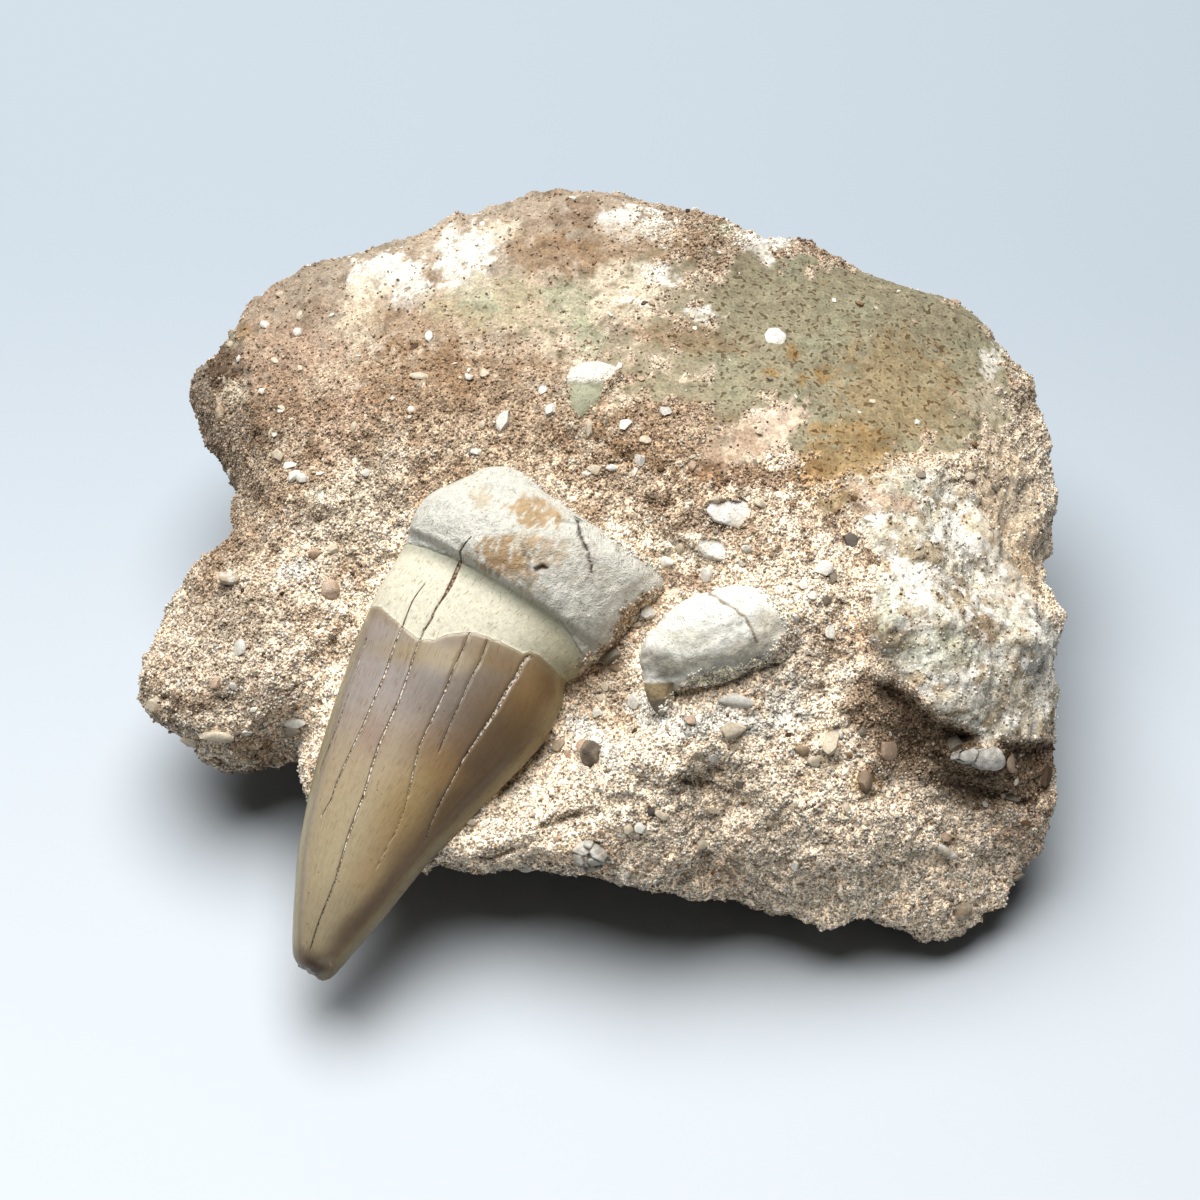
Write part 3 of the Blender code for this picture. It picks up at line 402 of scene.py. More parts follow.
# What the photograph shows of each fossil. Sand laps over the rest of its upper side.
TOOTH_SHOWN = [
    (200, 440), (498, 440), (524, 468), (546, 487), (576, 512), (600, 527), (622, 545),
    (642, 560), (668, 577), (662, 588), (640, 597), (625, 612), (612, 640), (592, 656),
    (580, 660), (585, 700), (570, 760), (480, 850), (420, 900), (360, 1000), (200, 1000),
]
LOBE_SHOWN = [
    (640, 640), (650, 625), (665, 605), (690, 583), (712, 578), (725, 576), (745, 580),
    (765, 593), (778, 610), (788, 626), (778, 643), (767, 656), (750, 662), (735, 667),
    (704, 670), (688, 678), (677, 690), (672, 700), (654, 718), (638, 704), (630, 680),
]
SMALL_SHOWN = [
    (560, 360), (585, 351), (600, 352), (630, 360), (617, 371), (604, 381), (603, 394),
    (598, 406), (582, 422), (569, 414), (567, 388), (563, 372),
]

FOSSIL_SINK = 0.12  # how far the sand round a fossil reaches under its surface
SEAM_REACH = 1.4
SEARCH_REACH = 3.0  # within which a fossil is looked for
HIDDEN_SINK = 0.4
EDGE_MARGIN = 0.03
ROCK_STEP = 0.96  # of its mesh, halved where the camera sees it
# Painted light: the sand over the fossils is painted lighter than the rock's, for its steep sides that get
# less of the key light.
CRUST_PAINTED_LIGHT = 1.1  # of the sand over the fossils, against the rock's
CRUST_GRAINS = (1600, 1000, 150)

# Mottling by noise: a colour, layers of noise as share, wavelength in mm and seed, then gain,
# start and strength.
ROCK_TONES = [
    ((162, 132, 102), [(1.0, 9.0, 35), (0.6, 4.0, 36)], 1.3, 0.0, 0.65),
    ((176, 168, 152), [(1.0, 7.0, 37), (0.5, 3.0, 38)], 1.2, -0.1, 0.55),
    ((240, 230, 212), [(1.0, 3.2, 39), (0.5, 1.6, 40)], 1.8, -0.7, 0.75),
    ((140, 108, 78), [(1.0, 2.6, 41), (0.6, 1.2, 42)], 1.7, -0.5, 0.5),
]
LUMP_TONES = [((218, 214, 190), [(1.0, 3.6, 46)], 1.8, -0.3, 0.6)]
CLAY_TONES = [
    (CLAY_GREEN, [(1.0, 5.0, 47)], 1.2, 0.0, 0.45),
    ((128, 100, 70), [(1.0, 1.1, 48), (0.5, 0.6, 56)], 2.4, -1.3, 0.7),
    ((180, 142, 88), [(1.0, 1.5, 57)], 2.4, -1.2, 0.5),
]
# Painted light: the rock is lit from behind, so the colour of its front is painted lighter: pixels down or
# across, and the factor.
LIGHTER_DOWN = (200, 430, 600, 760, 900), (0.60, 0.86, 1.66, 1.95, 2.0)
LIGHTER_ACROSS = (230, 420, 950, 1000), (0.55, 1.0, 1.0, 1.1)
# The pale strips of finer sand: a patch and its strength.
FINE_STRIPS = [((1010, 530, 36, 90, -8), 0.55), ((756, 436, 66, 20, -27), 0.8)]

# Looks of the larger fragments: node, its colour, a second colour, size of their mottling in
# mm, height of its lumps in mm and roughness.
FRAGMENT_LOOKS = [
    ("bone_fragment", (236, 232, 222), (206, 198, 184), 1.2, 0.2, 0.8),
    ("grey_pebble", (234, 230, 222), (196, 190, 180), 1.0, 0.18, 0.7),
    ("shell_chip_upper", (255, 253, 247), (244, 236, 222), 1.2, 0.15, 0.6),
    ("shell_chip_lower", (255, 253, 247), (244, 236, 222), 1.2, 0.15, 0.6),
    ("white_chip", (254, 252, 247), (240, 234, 222), 0.8, 0.06, 0.5),
    ("brown_pebble", (168, 152, 132), (112, 100, 86), 1.6, 0.10, 0.6),
    ("pink_pebble", (226, 206, 186), (212, 186, 160), 0.9, 0.06, 0.7),
    ("rim_pebble", (226, 212, 192), (190, 168, 140), 1.0, 0.10, 0.6),
    ("white_splinter", (244, 240, 230), (220, 206, 184), 0.8, 0.08, 0.6),
    ("left_chip", (242, 236, 222), (210, 190, 160), 0.8, 0.10, 0.6),
    ("edge_pebble", (226, 212, 190), (190, 164, 130), 0.9, 0.08, 0.6),
]
# Fragments that are cracked through, and the size of the pieces between the cracks in mm.
CRACKED = {"bone_fragment": 2.0, "grey_pebble": 3.0}
# Fragments that are flat broken plates, and how much larger they are than their solids.
PLATES = {"shell_chip_upper": 1.45, "shell_chip_lower": 1.4, "white_chip": 1.35, "left_chip": 1.2}

LOBE_CRACK = [(700, 586), (711, 594), (722, 601), (735, 610), (745, 617), (751, 627), (757, 642)]
# Patches on the lobe of the root: the grey ones along its lower side are painted shade, the cream ones its
# own colour.
LOBE_PATCHES_AND_SHADE = [
    (660, 664, 24, 14, 20, (160, 154, 138), 0.8), (700, 662, 30, 8, -10, (190, 180, 158), 0.6),
    (750, 650, 26, 12, -15, (186, 178, 158), 0.75), (770, 625, 16, 14, 0, (226, 212, 184), 0.5),
    (690, 640, 24, 12, 0, (226, 220, 200), 0.5),
]
CREST_SHADE = [(583, 408, 10, 10, 0, (160, 158, 132), 0.6)]

# Places on the fossils, in photo pixels: an edge, and how wide the change there is.
BAND_DARKENS = 500.0, 70.0  # across, on the pale band above the enamel
CUSP_TOP, CUSP_RIGHT, CUSP_TIP = (681.0, 3.0), (676.0, 4.0), (697.0, 5.0)
CAP_EDGE = 384.0, 4.0  # down, where the small tooth's cap ends
# Places on the rock, in photo pixels, in the same way.
BROKEN_CLAY = 715.0  # left of this the clay has gaps
LEDGE_START, LEDGE_END = (846.0, 70.0), (1062.0, 12.0)
SOFT_ABOVE, SOFT_LEFT = (460.0, 180.0), (700.0, 100.0)  # the weathered crest
# Places along the tooth from the enamel's edge, and how wide the change there is, in mm.
GROOVES_END, TIP_WORN, TIP_DARK = (-46.0, 5.0), (-43.2, 1.4), (-43.4, 1.2)
ROOT_BEHIND = 6.0  # where the root starts on the buried side
FAN_WIDTH = 13.0  # the crown's half width, for the streaks on it

# The sand in the tooth's cracks, on the enamel and on the root.
PALE_SAND = [(0.0, (104, 80, 58)), (0.35, (170, 148, 122)), (0.6, (226, 214, 194)),
             (1.0, (244, 238, 224))]
DARK_SAND = [(0.0, (70, 52, 38)), (0.5, (130, 104, 78)), (1.0, (210, 190, 160))]

# Colours of the small chips and how common each is.
CHIP_COLOURS = (CHALK, CREAM, PINK_TAN, GREY_SAND, BROWN, DARK_BROWN)
CHIP_SHARES = (0.36, 0.28, 0.14, 0.1, 0.07, 0.05)

# Numbers


def smooth_step(share):
    share = np.clip(share, 0.0, 1.0)
    return share * share * (3.0 - 2.0 * share)


def above(value, edge):
    """0 below an edge, going up to 1 over the edge's width."""
    start, width = edge
    return smooth_step((value - start) / width)


def below(value, edge):
    """0 above an edge, going up to 1 over the edge's width."""
    start, width = edge
    return smooth_step((start - value) / width)


def unit(vectors):
    vectors = np.asarray(vectors, float)
    return vectors / np.maximum(np.linalg.norm(vectors, axis=-1, keepdims=True), 1e-12)


def coat(points, colour):
    """One colour for every point."""
    return np.tile(albedo(colour), (len(points), 1))


def blended(first, second, share):
    """Colours first going over to second."""
    share = np.asarray(share)[:, None]
    return first * (1.0 - share) + np.asarray(second) * share


def painted(tint, colour, share):
    """Colours going over to one colour."""
    return blended(tint, albedo(colour), share)


def pushed(points, direction, distance):
    """Points moved along a direction, each by its own distance."""
    return points + direction * distance[:, None]


def in_box(points, margin=0.0):
    """Points kept inside the solids' outer box."""
    return np.clip(points, BOX_LOW + margin, BOX_HIGH - margin)


SLOPES = unit([
    (1, 1, 0), (-1, 1, 0), (1, -1, 0), (-1, -1, 0), (1, 0, 1), (-1, 0, 1),
    (1, 0, -1), (-1, 0, -1), (0, 1, 1), (0, -1, 1), (0, 1, -1), (0, -1, -1),
])


def scrambled(cell, seed):
    """A whole number for each whole-number cell, which looks random."""
    value = cell @ np.array([374761393, 668265263, 1440662683], np.int64) + seed * 974711
    value = (value ^ (value >> 13)) * 1274126177
    return (value ^ (value >> 16)) & 0x7FFFFFFF


def noise_at(points, wavelength, seed=0):
    """Smooth noise from about -1 to 1 at each point."""
    at = points / wavelength + np.array([17.3, -9.1, 5.7]) * (seed + 1)
    cell = np.floor(at).astype(np.int64)
    part = at - cell
    fade = part**3 * (part * (part * 6.0 - 15.0) + 10.0)
    total = np.zeros(len(points))
    for step in np.ndindex(2, 2, 2):
        corner = np.array(step)
        slope = SLOPES[scrambled(cell + corner, seed) % len(SLOPES)]
        weight = np.where(corner == 1, fade, 1.0 - fade).prod(axis=1)
        total += weight * (slope * (part - corner)).sum(axis=1)
    return total * 1.5


def noises(points, *layers, start=0.0):
    """A sum of noises, each given as its share, wavelength and seed."""
    return sum((share * noise_at(points, wave, seed) for share, wave, seed in layers), start)


def mottled(tint, points, tones):
    """The tint with patches of noise, from rows such as those of ROCK_TONES."""
    for colour, layers, gain, start, strength in tones:
        tint = painted(tint, colour, smooth_step(noises(points, *layers) * gain + start) * strength)
    return tint


def line_distance(x, y, line):
    """How far each point lies from a line of straight runs."""
    nearest = np.full(x.shape, 1e9)
    for (ax, ay), (bx, by) in zip(line[:-1], line[1:]):
        run_x, run_y = bx - ax, by - ay
        share = ((x - ax) * run_x + (y - ay) * run_y) / (run_x**2 + run_y**2)
        share = np.clip(share, 0.0, 1.0)
        nearest = np.minimum(nearest, np.hypot(x - ax - share * run_x, y - ay - share * run_y))
    return nearest


def inside_distance(x, y, outline):
    """How far inside a closed outline each point lies. It is negative outside."""
    closed = [*outline, outline[0]]
    crossings = np.zeros(x.shape, int)
    for (ax, ay), (bx, by) in zip(closed[:-1], closed[1:]):
        if ay != by:
            spans = (ay > y) != (by > y)
            crossings += spans & (x < ax + (y - ay) * (bx - ax) / (by - ay))
    nearest = line_distance(x, y, closed)
    return np.where(crossings % 2 == 1, nearest, -nearest)


def point_tree(points):
    tree = KDTree(len(points))
    for k, point in enumerate(points):
        tree.insert(point, k)
    tree.balance()
    return tree


def crumbs_at(points, size, seed):
    """Angular crumbs about as large as size. It gives each point's crumb number, the height of
    the crumb's tilted face there and the distance to the next crumb."""
    if len(points) < 2:
        return np.zeros(0, int), np.zeros(0), np.zeros(0)
    rng = np.random.default_rng(seed)
    low = points.min(0) - size
    counts = np.ceil((points.max(0) + size - low) / size).astype(int)
    corners = np.stack(np.indices(counts), -1).reshape(-1, 3)
    middles = low + (corners + rng.random(corners.shape)) * size
    tree = point_tree(middles)
    found = [tree.find_n(point, 2) for point in points]
    crumb = np.array([pair[0][1] for pair in found])
    gap = np.array([pair[1][2] - pair[0][2] for pair in found])
    slope = rng.normal(0.0, 0.4, middles.shape)
    height = rng.uniform(-0.3, 0.3, len(middles)) * size
    return crumb, height[crumb] + ((points - middles[crumb]) * slope[crumb]).sum(axis=1), gap


def seen(points):
    """Where in the photograph each point lies, in pixels."""
    away = points - CAMERA_AT
    depth = -(away @ TO_CAMERA)
    across = PHOTO_MIDDLE + FOCAL_PIXELS * away[:, 0] / depth
    down = PHOTO_MIDDLE - FOCAL_PIXELS * (away @ VIEW_UP) / depth
    return across, down


def sight(across, down):
    """The direction from the camera through a pixel."""
    right = np.array([across - PHOTO_MIDDLE, 0.0, 0.0])
    return unit(-TO_CAMERA * FOCAL_PIXELS + right - VIEW_UP * (down - PHOTO_MIDDLE))


def patch_share(x, y, patch, softness):
    """How much of a patch each pixel place gets: 1 in its middle, 0 outside."""
    at_x, at_y, reach_x, reach_y, turn = patch[:5]
    turn = math.radians(turn)
    across = (x - at_x) * math.cos(turn) + (y - at_y) * math.sin(turn)
    up = (y - at_y) * math.cos(turn) - (x - at_x) * math.sin(turn)
    away = np.hypot(across / reach_x, up / reach_y)
    return smooth_step((1.0 + softness - away) / (2.0 * softness))


def patched(tint, x, y, patches, softness, mask=1.0, tear=None):
    """The tint with patches of colour. A tear changes their share, for ragged edges."""
    for patch in patches:
        share = patch_share(x, y, patch, softness)
        if tear:
            share = tear(share)
        tint = painted(tint, patch[5], share * patch[6] * mask)
    return tint


# Meshes


def new_piece(name, mesh, look):
    """An object of the scene that rides on the block."""
    obj = bpy.data.objects.new(name, mesh)
    bpy.context.scene.collection.objects.link(obj)
    mesh.materials.clear()
    mesh.materials.append(look)
    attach(obj, "root")
    return obj


def mesh_from(name, points, faces):
    """A mesh whose faces all have the same number of corners."""
    mesh = bpy.data.meshes.new(name)
    mesh.vertices.add(len(points))
    mesh.vertices.foreach_set("co", (points * MM).astype(np.float32).ravel())
    count, corners = faces.shape
    mesh.loops.add(count * corners)
    mesh.loops.foreach_set("vertex_index", faces.astype(np.int32).ravel())
    mesh.polygons.add(count)
    mesh.polygons.foreach_set("loop_start", np.arange(0, count * corners, corners, dtype=np.int32))
    mesh.update(calc_edges=True)
    mesh.validate()
    mesh.shade_smooth()
    return mesh


def give(mesh, name, values):
    """A value or a colour for each vertex, which the materials read by name."""
    if name in mesh.attributes:
        mesh.attributes.remove(mesh.attributes[name])
    values = np.asarray(values, np.float32)
    if values.ndim == 1:
        mesh.attributes.new(name, "FLOAT", "POINT").data.foreach_set("value", values)
    else:
        full = np.column_stack([values, np.ones(len(values), np.float32)])
        layer = mesh.attributes.new(name, "FLOAT_COLOR", "POINT")
        layer.data.foreach_set("color", full.astype(np.float32).ravel())


def rows_of(elements, name, width, kind=np.float32):
    """A property of mesh elements as an array, with a row for each element."""
    values = np.empty(len(elements) * width, kind)
    elements.foreach_get(name, values)
    return values.reshape(-1, width)


def points_of(mesh):
    return rows_of(mesh.vertices, "co", 3).astype(float) / MM


def normals_of(mesh):
    return rows_of(mesh.vertex_normals, "vector", 3).astype(float)


def move_to(mesh, points):
    mesh.vertices.foreach_set("co", (points * MM).astype(np.float32).ravel())
    mesh.update()


def relax(mesh, rounds, hold=None):
    """Moves each point half way to the middle of its neighbours, the held ones less."""
    points, edges = points_of(mesh), rows_of(mesh.edges, "vertices", 2, np.int32)
    first, second = edges.T
    count = np.bincount(edges.ravel(), minlength=len(points)).astype(float)[:, None]
    for _ in range(rounds):
        total = np.zeros_like(points)
        for axis in range(3):
            total[:, axis] = np.bincount(first, points[second, axis], len(points))
            total[:, axis] += np.bincount(second, points[first, axis], len(points))
        step = 0.5 * (total / count - points)
        points = points + (step if hold is None else step * (1.0 - hold)[:, None])
    move_to(mesh, points)
    return points


def tree_of(mesh):
    """For finding the nearest point of a mesh, in metres."""
    mesh.calc_loop_triangles()
    places = [v.co.copy() for v in mesh.vertices]
    faces = [tuple(t.vertices) for t in mesh.loop_triangles]
    return BVHTree.FromPolygons(places, faces)


def remeshed(source, size):
    """A new mesh of even small quads over the same surface."""
    copy = bpy.data.objects.new("to_remesh", source.data.copy())
    bpy.context.scene.collection.objects.link(copy)
    step = copy.modifiers.new("even quads", "REMESH")
    step.mode, step.voxel_size, step.adaptivity = "VOXEL", size * MM, 0.0
    graph = bpy.context.evaluated_depsgraph_get()
    mesh = bpy.data.meshes.new_from_object(copy.evaluated_get(graph))
    bpy.data.objects.remove(copy)
    return mesh


def hit(tree, across, down):
    """The surface point and normal that a pixel of the photograph shows."""
    place, normal, _, _ = tree.ray_cast(Vector(CAMERA_AT * MM), Vector(sight(across, down)))
    if place is None:
        return None
    return np.array(place) / MM, np.array(normal)


# Materials


class Look:
    """A material. Each method adds a node and returns its output."""

    def __init__(self, name, **settings):
        self.material = bpy.data.materials.new(name)
        self.material.use_nodes = True
        self.tree = self.material.node_tree
        self.shader = self.tree.nodes["Principled BSDF"]
        for socket, value in settings.items():
            self.shader.inputs[socket.replace("_", " ")].default_value = value

    def add(self, kind, inputs, out=0, **options):
        node = self.tree.nodes.new(kind)
        for key, value in options.items():
            setattr(node, key, value)
        for key, value in inputs.items():
            if isinstance(value, bpy.types.NodeSocket):
                self.tree.links.new(value, node.inputs[key])
            else:
                node.inputs[key].default_value = value
        return node.outputs[out]

    def set(self, socket, value):
        self.tree.links.new(value, self.shader.inputs[socket])

    def read(self, name, out="Fac"):
        return self.add("ShaderNodeAttribute", {}, out, attribute_name=name)

    def place(self):
        """Where the point lies, in millimetres."""
        at = self.add("ShaderNodeTexCoord", {}, "Object")
        return self.add("ShaderNodeVectorMath", {0: at, 1: (1.0 / MM,) * 3}, operation="MULTIPLY")

    def flow(self, stretch):
        """Where the point lies on the tooth: across it, and along it with a stretch."""
        along = self.math("MULTIPLY", self.read("along"), stretch)
        return self.add("ShaderNodeCombineXYZ", {0: self.read("fan"), 1: along})

    def math(self, operation, first, second=0.0, third=0.0):
        inputs = {0: first, 1: second, 2: third}
        return self.add("ShaderNodeMath", inputs, operation=operation)

    def blend(self, share, first, second, mode="MIX"):
        inputs = {"Factor": share, 6: first, 7: second}
        return self.add("ShaderNodeMix", inputs, 2, data_type="RGBA", blend_type=mode)

    def paint(self, share, colour, over):
        """The colour, going over to one as seen."""
        return self.blend(share, colour, (*albedo(over), 1.0))

    def grey(self, value):
        return self.add("ShaderNodeCombineColor", {0: value, 1: value, 2: value})

    def times(self, colour, value):
        return self.blend(1.0, colour, self.grey(value), "MULTIPLY")

    def span(self, value, low, high, to_low=0.0, to_high=1.0):
        """The value's way from low to high, given out from to_low to to_high."""
        inputs = {0: value, 1: low, 2: high, 3: to_low, 4: to_high}
        return self.add("ShaderNodeMapRange", inputs, interpolation_type="SMOOTHSTEP")

    def noise(self, at, size, detail=2.0, roughness=0.5):
        inputs = {"Vector": at, "Scale": 1.0 / size, "Detail": detail, "Roughness": roughness}
        return self.add("ShaderNodeTexNoise", inputs, 0)

    def mottling(self, at, size, detail, roughness, darkest, lightest, reach=0.2):
        """Noise as a factor for a colour."""
        noise = self.noise(at, size, detail, roughness)
        return self.span(noise, 0.5 - reach, 0.5 + reach, darkest, lightest)

    def cells(self, at, size, out="Distance"):
        inputs = {"Vector": at, "Scale": 1.0 / size}
        return self.add("ShaderNodeTexVoronoi", inputs, out, feature="F1")

    def cell_value(self, at, size, channel=0):
        """A chance value for each cell."""
        return self.add("ShaderNodeSeparateColor", {0: self.cells(at, size, "Color")}, channel)

    def ramp(self, value, stops):
        """Colours along a value. Each stop is a place, with a grey level or a colour as seen."""
        node = self.tree.nodes.new("ShaderNodeValToRGB")
        self.tree.links.new(value, node.inputs[0])
        slots = node.color_ramp.elements
        while len(slots) < len(stops):
            slots.new(0.5)
        for slot, (at, colour) in zip(slots, stops):
            slot.position = at
            slot.color = (*((colour,) * 3 if isinstance(colour, float) else albedo(colour)), 1.0)
        return node.outputs[0]

    def bump(self, height, depth, strength):
        """Turns a height from 0 to 1 into the shader's normal. The depth is in millimetres."""
        inputs = {"Height": height, "Distance": depth * MM, "Strength": strength}
        self.set("Normal", self.add("ShaderNodeBump", inputs))


def rock_look():
    look = Look("phosphate rock", Roughness=0.9, Specular_IOR_Level=0.3)
    at, sandy = look.place(), look.read("sandy")
    wobble = look.add("ShaderNodeTexNoise", {"Vector": at, "Scale": 1.2, "Detail": 1.0}, 1)
    inputs = {0: wobble, 1: (0.5,) * 3, 2: at}
    shifted = look.add("ShaderNodeVectorMath", inputs, operation="MULTIPLY_ADD")
    fine, coarse = look.cells(shifted, 0.28), look.cells(shifted, 0.75)
    fine_tones = [(0.0, 0.5), (0.2, 0.95), (0.5, 1.25), (0.8, 1.5), (1.0, 1.8)]
    coarse_tones = [(0.0, 0.7), (0.3, 0.95), (0.75, 1.1), (0.95, 1.4)]
    light = look.ramp(look.cell_value(shifted, 0.28), fine_tones)
    lumps = look.ramp(look.cell_value(shifted, 0.75, 1), coarse_tones)
    both = look.blend(1.0, light, lumps, "MULTIPLY")
    # Painted shade: the colour is darker at the edges of the fine cells, for the gaps between the grains.
    crisp = look.times(both, look.span(fine, 0.48, 0.8, 1.0, 0.42))
    broad = look.mottling(at, 1.4, 3.0, 0.6, 0.8, 1.15, 0.18)
    soft = look.grey(look.math("MULTIPLY", broad, look.mottling(at, 0.4, 2.0, 0.6, 0.78, 1.18)))
    spots = look.span(look.noise(at, 0.7, 1.0, 0.5), 0.585, 0.65, 0.0, 0.85)
    spots = look.math("MULTIPLY", spots, look.span(sandy, 0.05, 0.22, 1.0, 0.25))
    soft = look.blend(spots, soft, (0.34, 0.26, 0.18, 1.0))
    detail = look.blend(sandy, soft, crisp)
    look.set("Base Color", look.blend(1.0, look.read("tint", "Color"), detail, "MULTIPLY"))
    rounded = look.math("MULTIPLY", look.math("SUBTRACT", 1.0, fine), sandy)
    larger = look.math("MULTIPLY", look.math("SUBTRACT", 1.0, coarse), sandy)
    height = look.math("MULTIPLY_ADD", larger, 0.6, rounded)
    height = look.math("MULTIPLY_ADD", look.noise(at, 0.25, 2.0), 0.4, height)
    look.bump(height, 0.13, 0.8)
    return look.material


def grain_look():
    look = Look("sand grains", Roughness=0.7, Specular_IOR_Level=0.35)
    colour = look.ramp(look.read("tone"), GRAIN_TONES)
    look.set("Base Color", look.times(colour, look.read("shade")))
    return look.material


def chip_look():
    look = Look("shell and bone chips", Roughness=0.65, Specular_IOR_Level=0.4)
    at = look.place()
    tone = look.mottling(at, 0.35, 3.0, 0.6, 0.8, 1.08)
    look.set("Base Color", look.times(look.read("tint", "Color"), tone))
    look.bump(look.noise(at, 0.3, 3.0, 0.6), 0.06, 0.7)
    return look.material


def bone_look(name, roughness=0.75):
    look = Look(name, Roughness=roughness, Specular_IOR_Level=0.4)
    at = look.place()
    mottle = look.mottling(at, 0.6, 4.0, 0.65, 0.84, 1.08)
    pores = look.span(look.cells(at, 0.5), 0.11, 0.19, 0.55, 0.0)
    colour = look.times(look.read("tint", "Color"), mottle)
    look.set("Base Color", look.paint(pores, colour, (140, 118, 90)))
    height = look.math("SUBTRACT", look.noise(at, 0.3, 4.0, 0.7), look.math("MULTIPLY", pores, 0.6))
    look.bump(height, 0.2, 0.9)
    return look.material


def enamel_colour(look, at, tint, streak):
    """The crown: streaks along it, clouds, brown hairlines and dots."""
    flow = look.flow(0.09)
    shine = look.span(streak, 0.3, 0.7, 0.95, 1.035)
    shine = look.math("MULTIPLY", shine, look.mottling(flow, 1.6, 2.0, 0.5, 0.98, 1.02))
    enamel = look.times(tint, shine)
    enamel = look.times(enamel, look.mottling(at, 0.8, 4.0, 0.7, 0.94, 1.04))
    lines = look.span(look.noise(flow, 0.16, 2.0, 0.4), 0.60, 0.69, 0.0, 0.5)
    enamel = look.paint(lines, enamel, (132, 98, 66))
    dots = look.span(look.cells(at, 1.7), 0.05, 0.08, 0.6, 0.0)
    return look.paint(dots, enamel, (110, 78, 52))


def root_colour(look, at, tint):
    """The root and the band below it: chalky, with short dashes and pores."""
    dashes = look.span(look.noise(look.flow(0.28), 0.26, 2.0, 0.5), 0.60, 0.68, 0.0, 0.6)
    chalk = look.times(tint, look.mottling(at, 0.7, 5.0, 0.75, 0.84, 1.06))
    chalk = look.paint(dashes, chalk, (170, 150, 118))
    pores = look.span(look.cells(at, 0.55), 0.10, 0.17, 0.4, 0.0)
    return look.paint(pores, chalk, (150, 128, 98))


def crack_share(look, at):
    """1 in a crack of the tooth, from the distance to the nearest one and its width."""
    lane, width = look.read("lane"), look.read("crack")
    off = look.math("SUBTRACT", lane, look.math("ROUND", lane))
    away = look.math("MULTIPLY", look.math("ABSOLUTE", off), look.read("gap"))
    jagged = look.math("MULTIPLY_ADD", look.noise(at, 0.3, 3.0, 0.7), 0.3, -0.15)
    away = look.math("ADD", away, look.math("MULTIPLY", jagged, look.span(width, 0.0, 0.5)))
    past = look.math("SUBTRACT", away, look.math("MULTIPLY", width, 0.42))
    share = look.span(past, -0.05, 0.04, 1.0, 0.0)
    return look.math("MULTIPLY", share, look.span(width, 0.02, 0.08))


def tooth_look():
    look = Look("tooth", Roughness=0.4, Specular_IOR_Level=0.5)
    at, tint = look.place(), look.read("tint", "Color")
    ragged = look.math("MULTIPLY_ADD", look.noise(at, 0.7, 3.0), 0.5, -0.25)
    bare = look.span(look.math("ADD", look.read("enamel"), ragged), -0.09, 0.09)
    on_root = look.span(look.math("ADD", look.read("root"), ragged), -0.25, 0.25)
    streak = look.noise(look.flow(0.09), 0.35, 4.0, 0.6)
    crack = crack_share(look, at)
    colour = look.blend(bare, enamel_colour(look, at, tint, streak), root_colour(look, at, tint))
    sand = look.cell_value(at, 0.24)
    filling = look.blend(bare, look.ramp(sand, PALE_SAND), look.ramp(sand, DARK_SAND))
    look.set("Base Color", look.blend(crack, colour, filling))
    rough = look.math("MULTIPLY_ADD", bare, 0.5, 0.24)
    look.set("Roughness", look.math("MAXIMUM", rough, look.math("MULTIPLY", crack, 0.9)))
    fine, coarse = look.noise(at, 0.3, 3.0, 0.7), look.noise(at, 1.1, 5.0, 0.8)
    height = look.math("MULTIPLY", look.math("MULTIPLY_ADD", coarse, 2.4, fine), bare)
    height = look.math("MULTIPLY", height, look.math("MULTIPLY_ADD", on_root, 0.85, 0.15))
    height = look.math("MULTIPLY_ADD", streak, 0.02, height)
    look.bump(look.math("SUBTRACT", height, crack), 0.26, 0.9)
    return look.material


# The tooth


def smooth_rows(table, at):
    """The table's rows at other values of its first column, with no overshoot."""
    known, values = table[:, 0], table[:, 1:]
    step = np.diff(known)[:, None]
    slope = np.diff(values, axis=0) / step
    product = slope[:-1] * slope[1:]
    total = slope[:-1] + slope[1:]
    tangent = np.zeros_like(values)
    same = product > 0
    tangent[1:-1][same] = (2 * product[same]) / total[same]
    tangent[0], tangent[-1] = slope[0], slope[-1]
    left = np.clip(np.searchsorted(known, at, "right") - 1, 0, len(known) - 2)
    width = step[left]
    t = (at[:, None] - known[left][:, None]) / width
    return (
        (2 * t**3 - 3 * t**2 + 1) * values[left]
        + (t**3 - 2 * t**2 + t) * width * tangent[left]
        + (3 * t**2 - 2 * t**3) * values[left + 1]
        + (t**3 - t**2) * width * tangent[left + 1]
    )


def tooth_axes():
    along = (ENAMEL_CENTRE - TOOTH_POINT).normalized()
    across = along.cross(TOOTH_FACES).normalized()
    return np.array(along), np.array(across), np.array(across.cross(along))


def along_and_across(points):
    away = np.asarray(points) - np.array(ENAMEL_CENTRE)
    along, across, _ = tooth_axes()
    return away @ along, away @ across


def traced(tree, line):
    """A line of the photograph, laid on the tooth: distance along and across at each point."""
    found = []
    for across, down, *rest in line:
        there = hit(tree, across, down)
        if there is not None:
            along, sideways = along_and_across(there[0][None])
            found.append((along[0], sideways[0], *rest))
    return np.array(found)


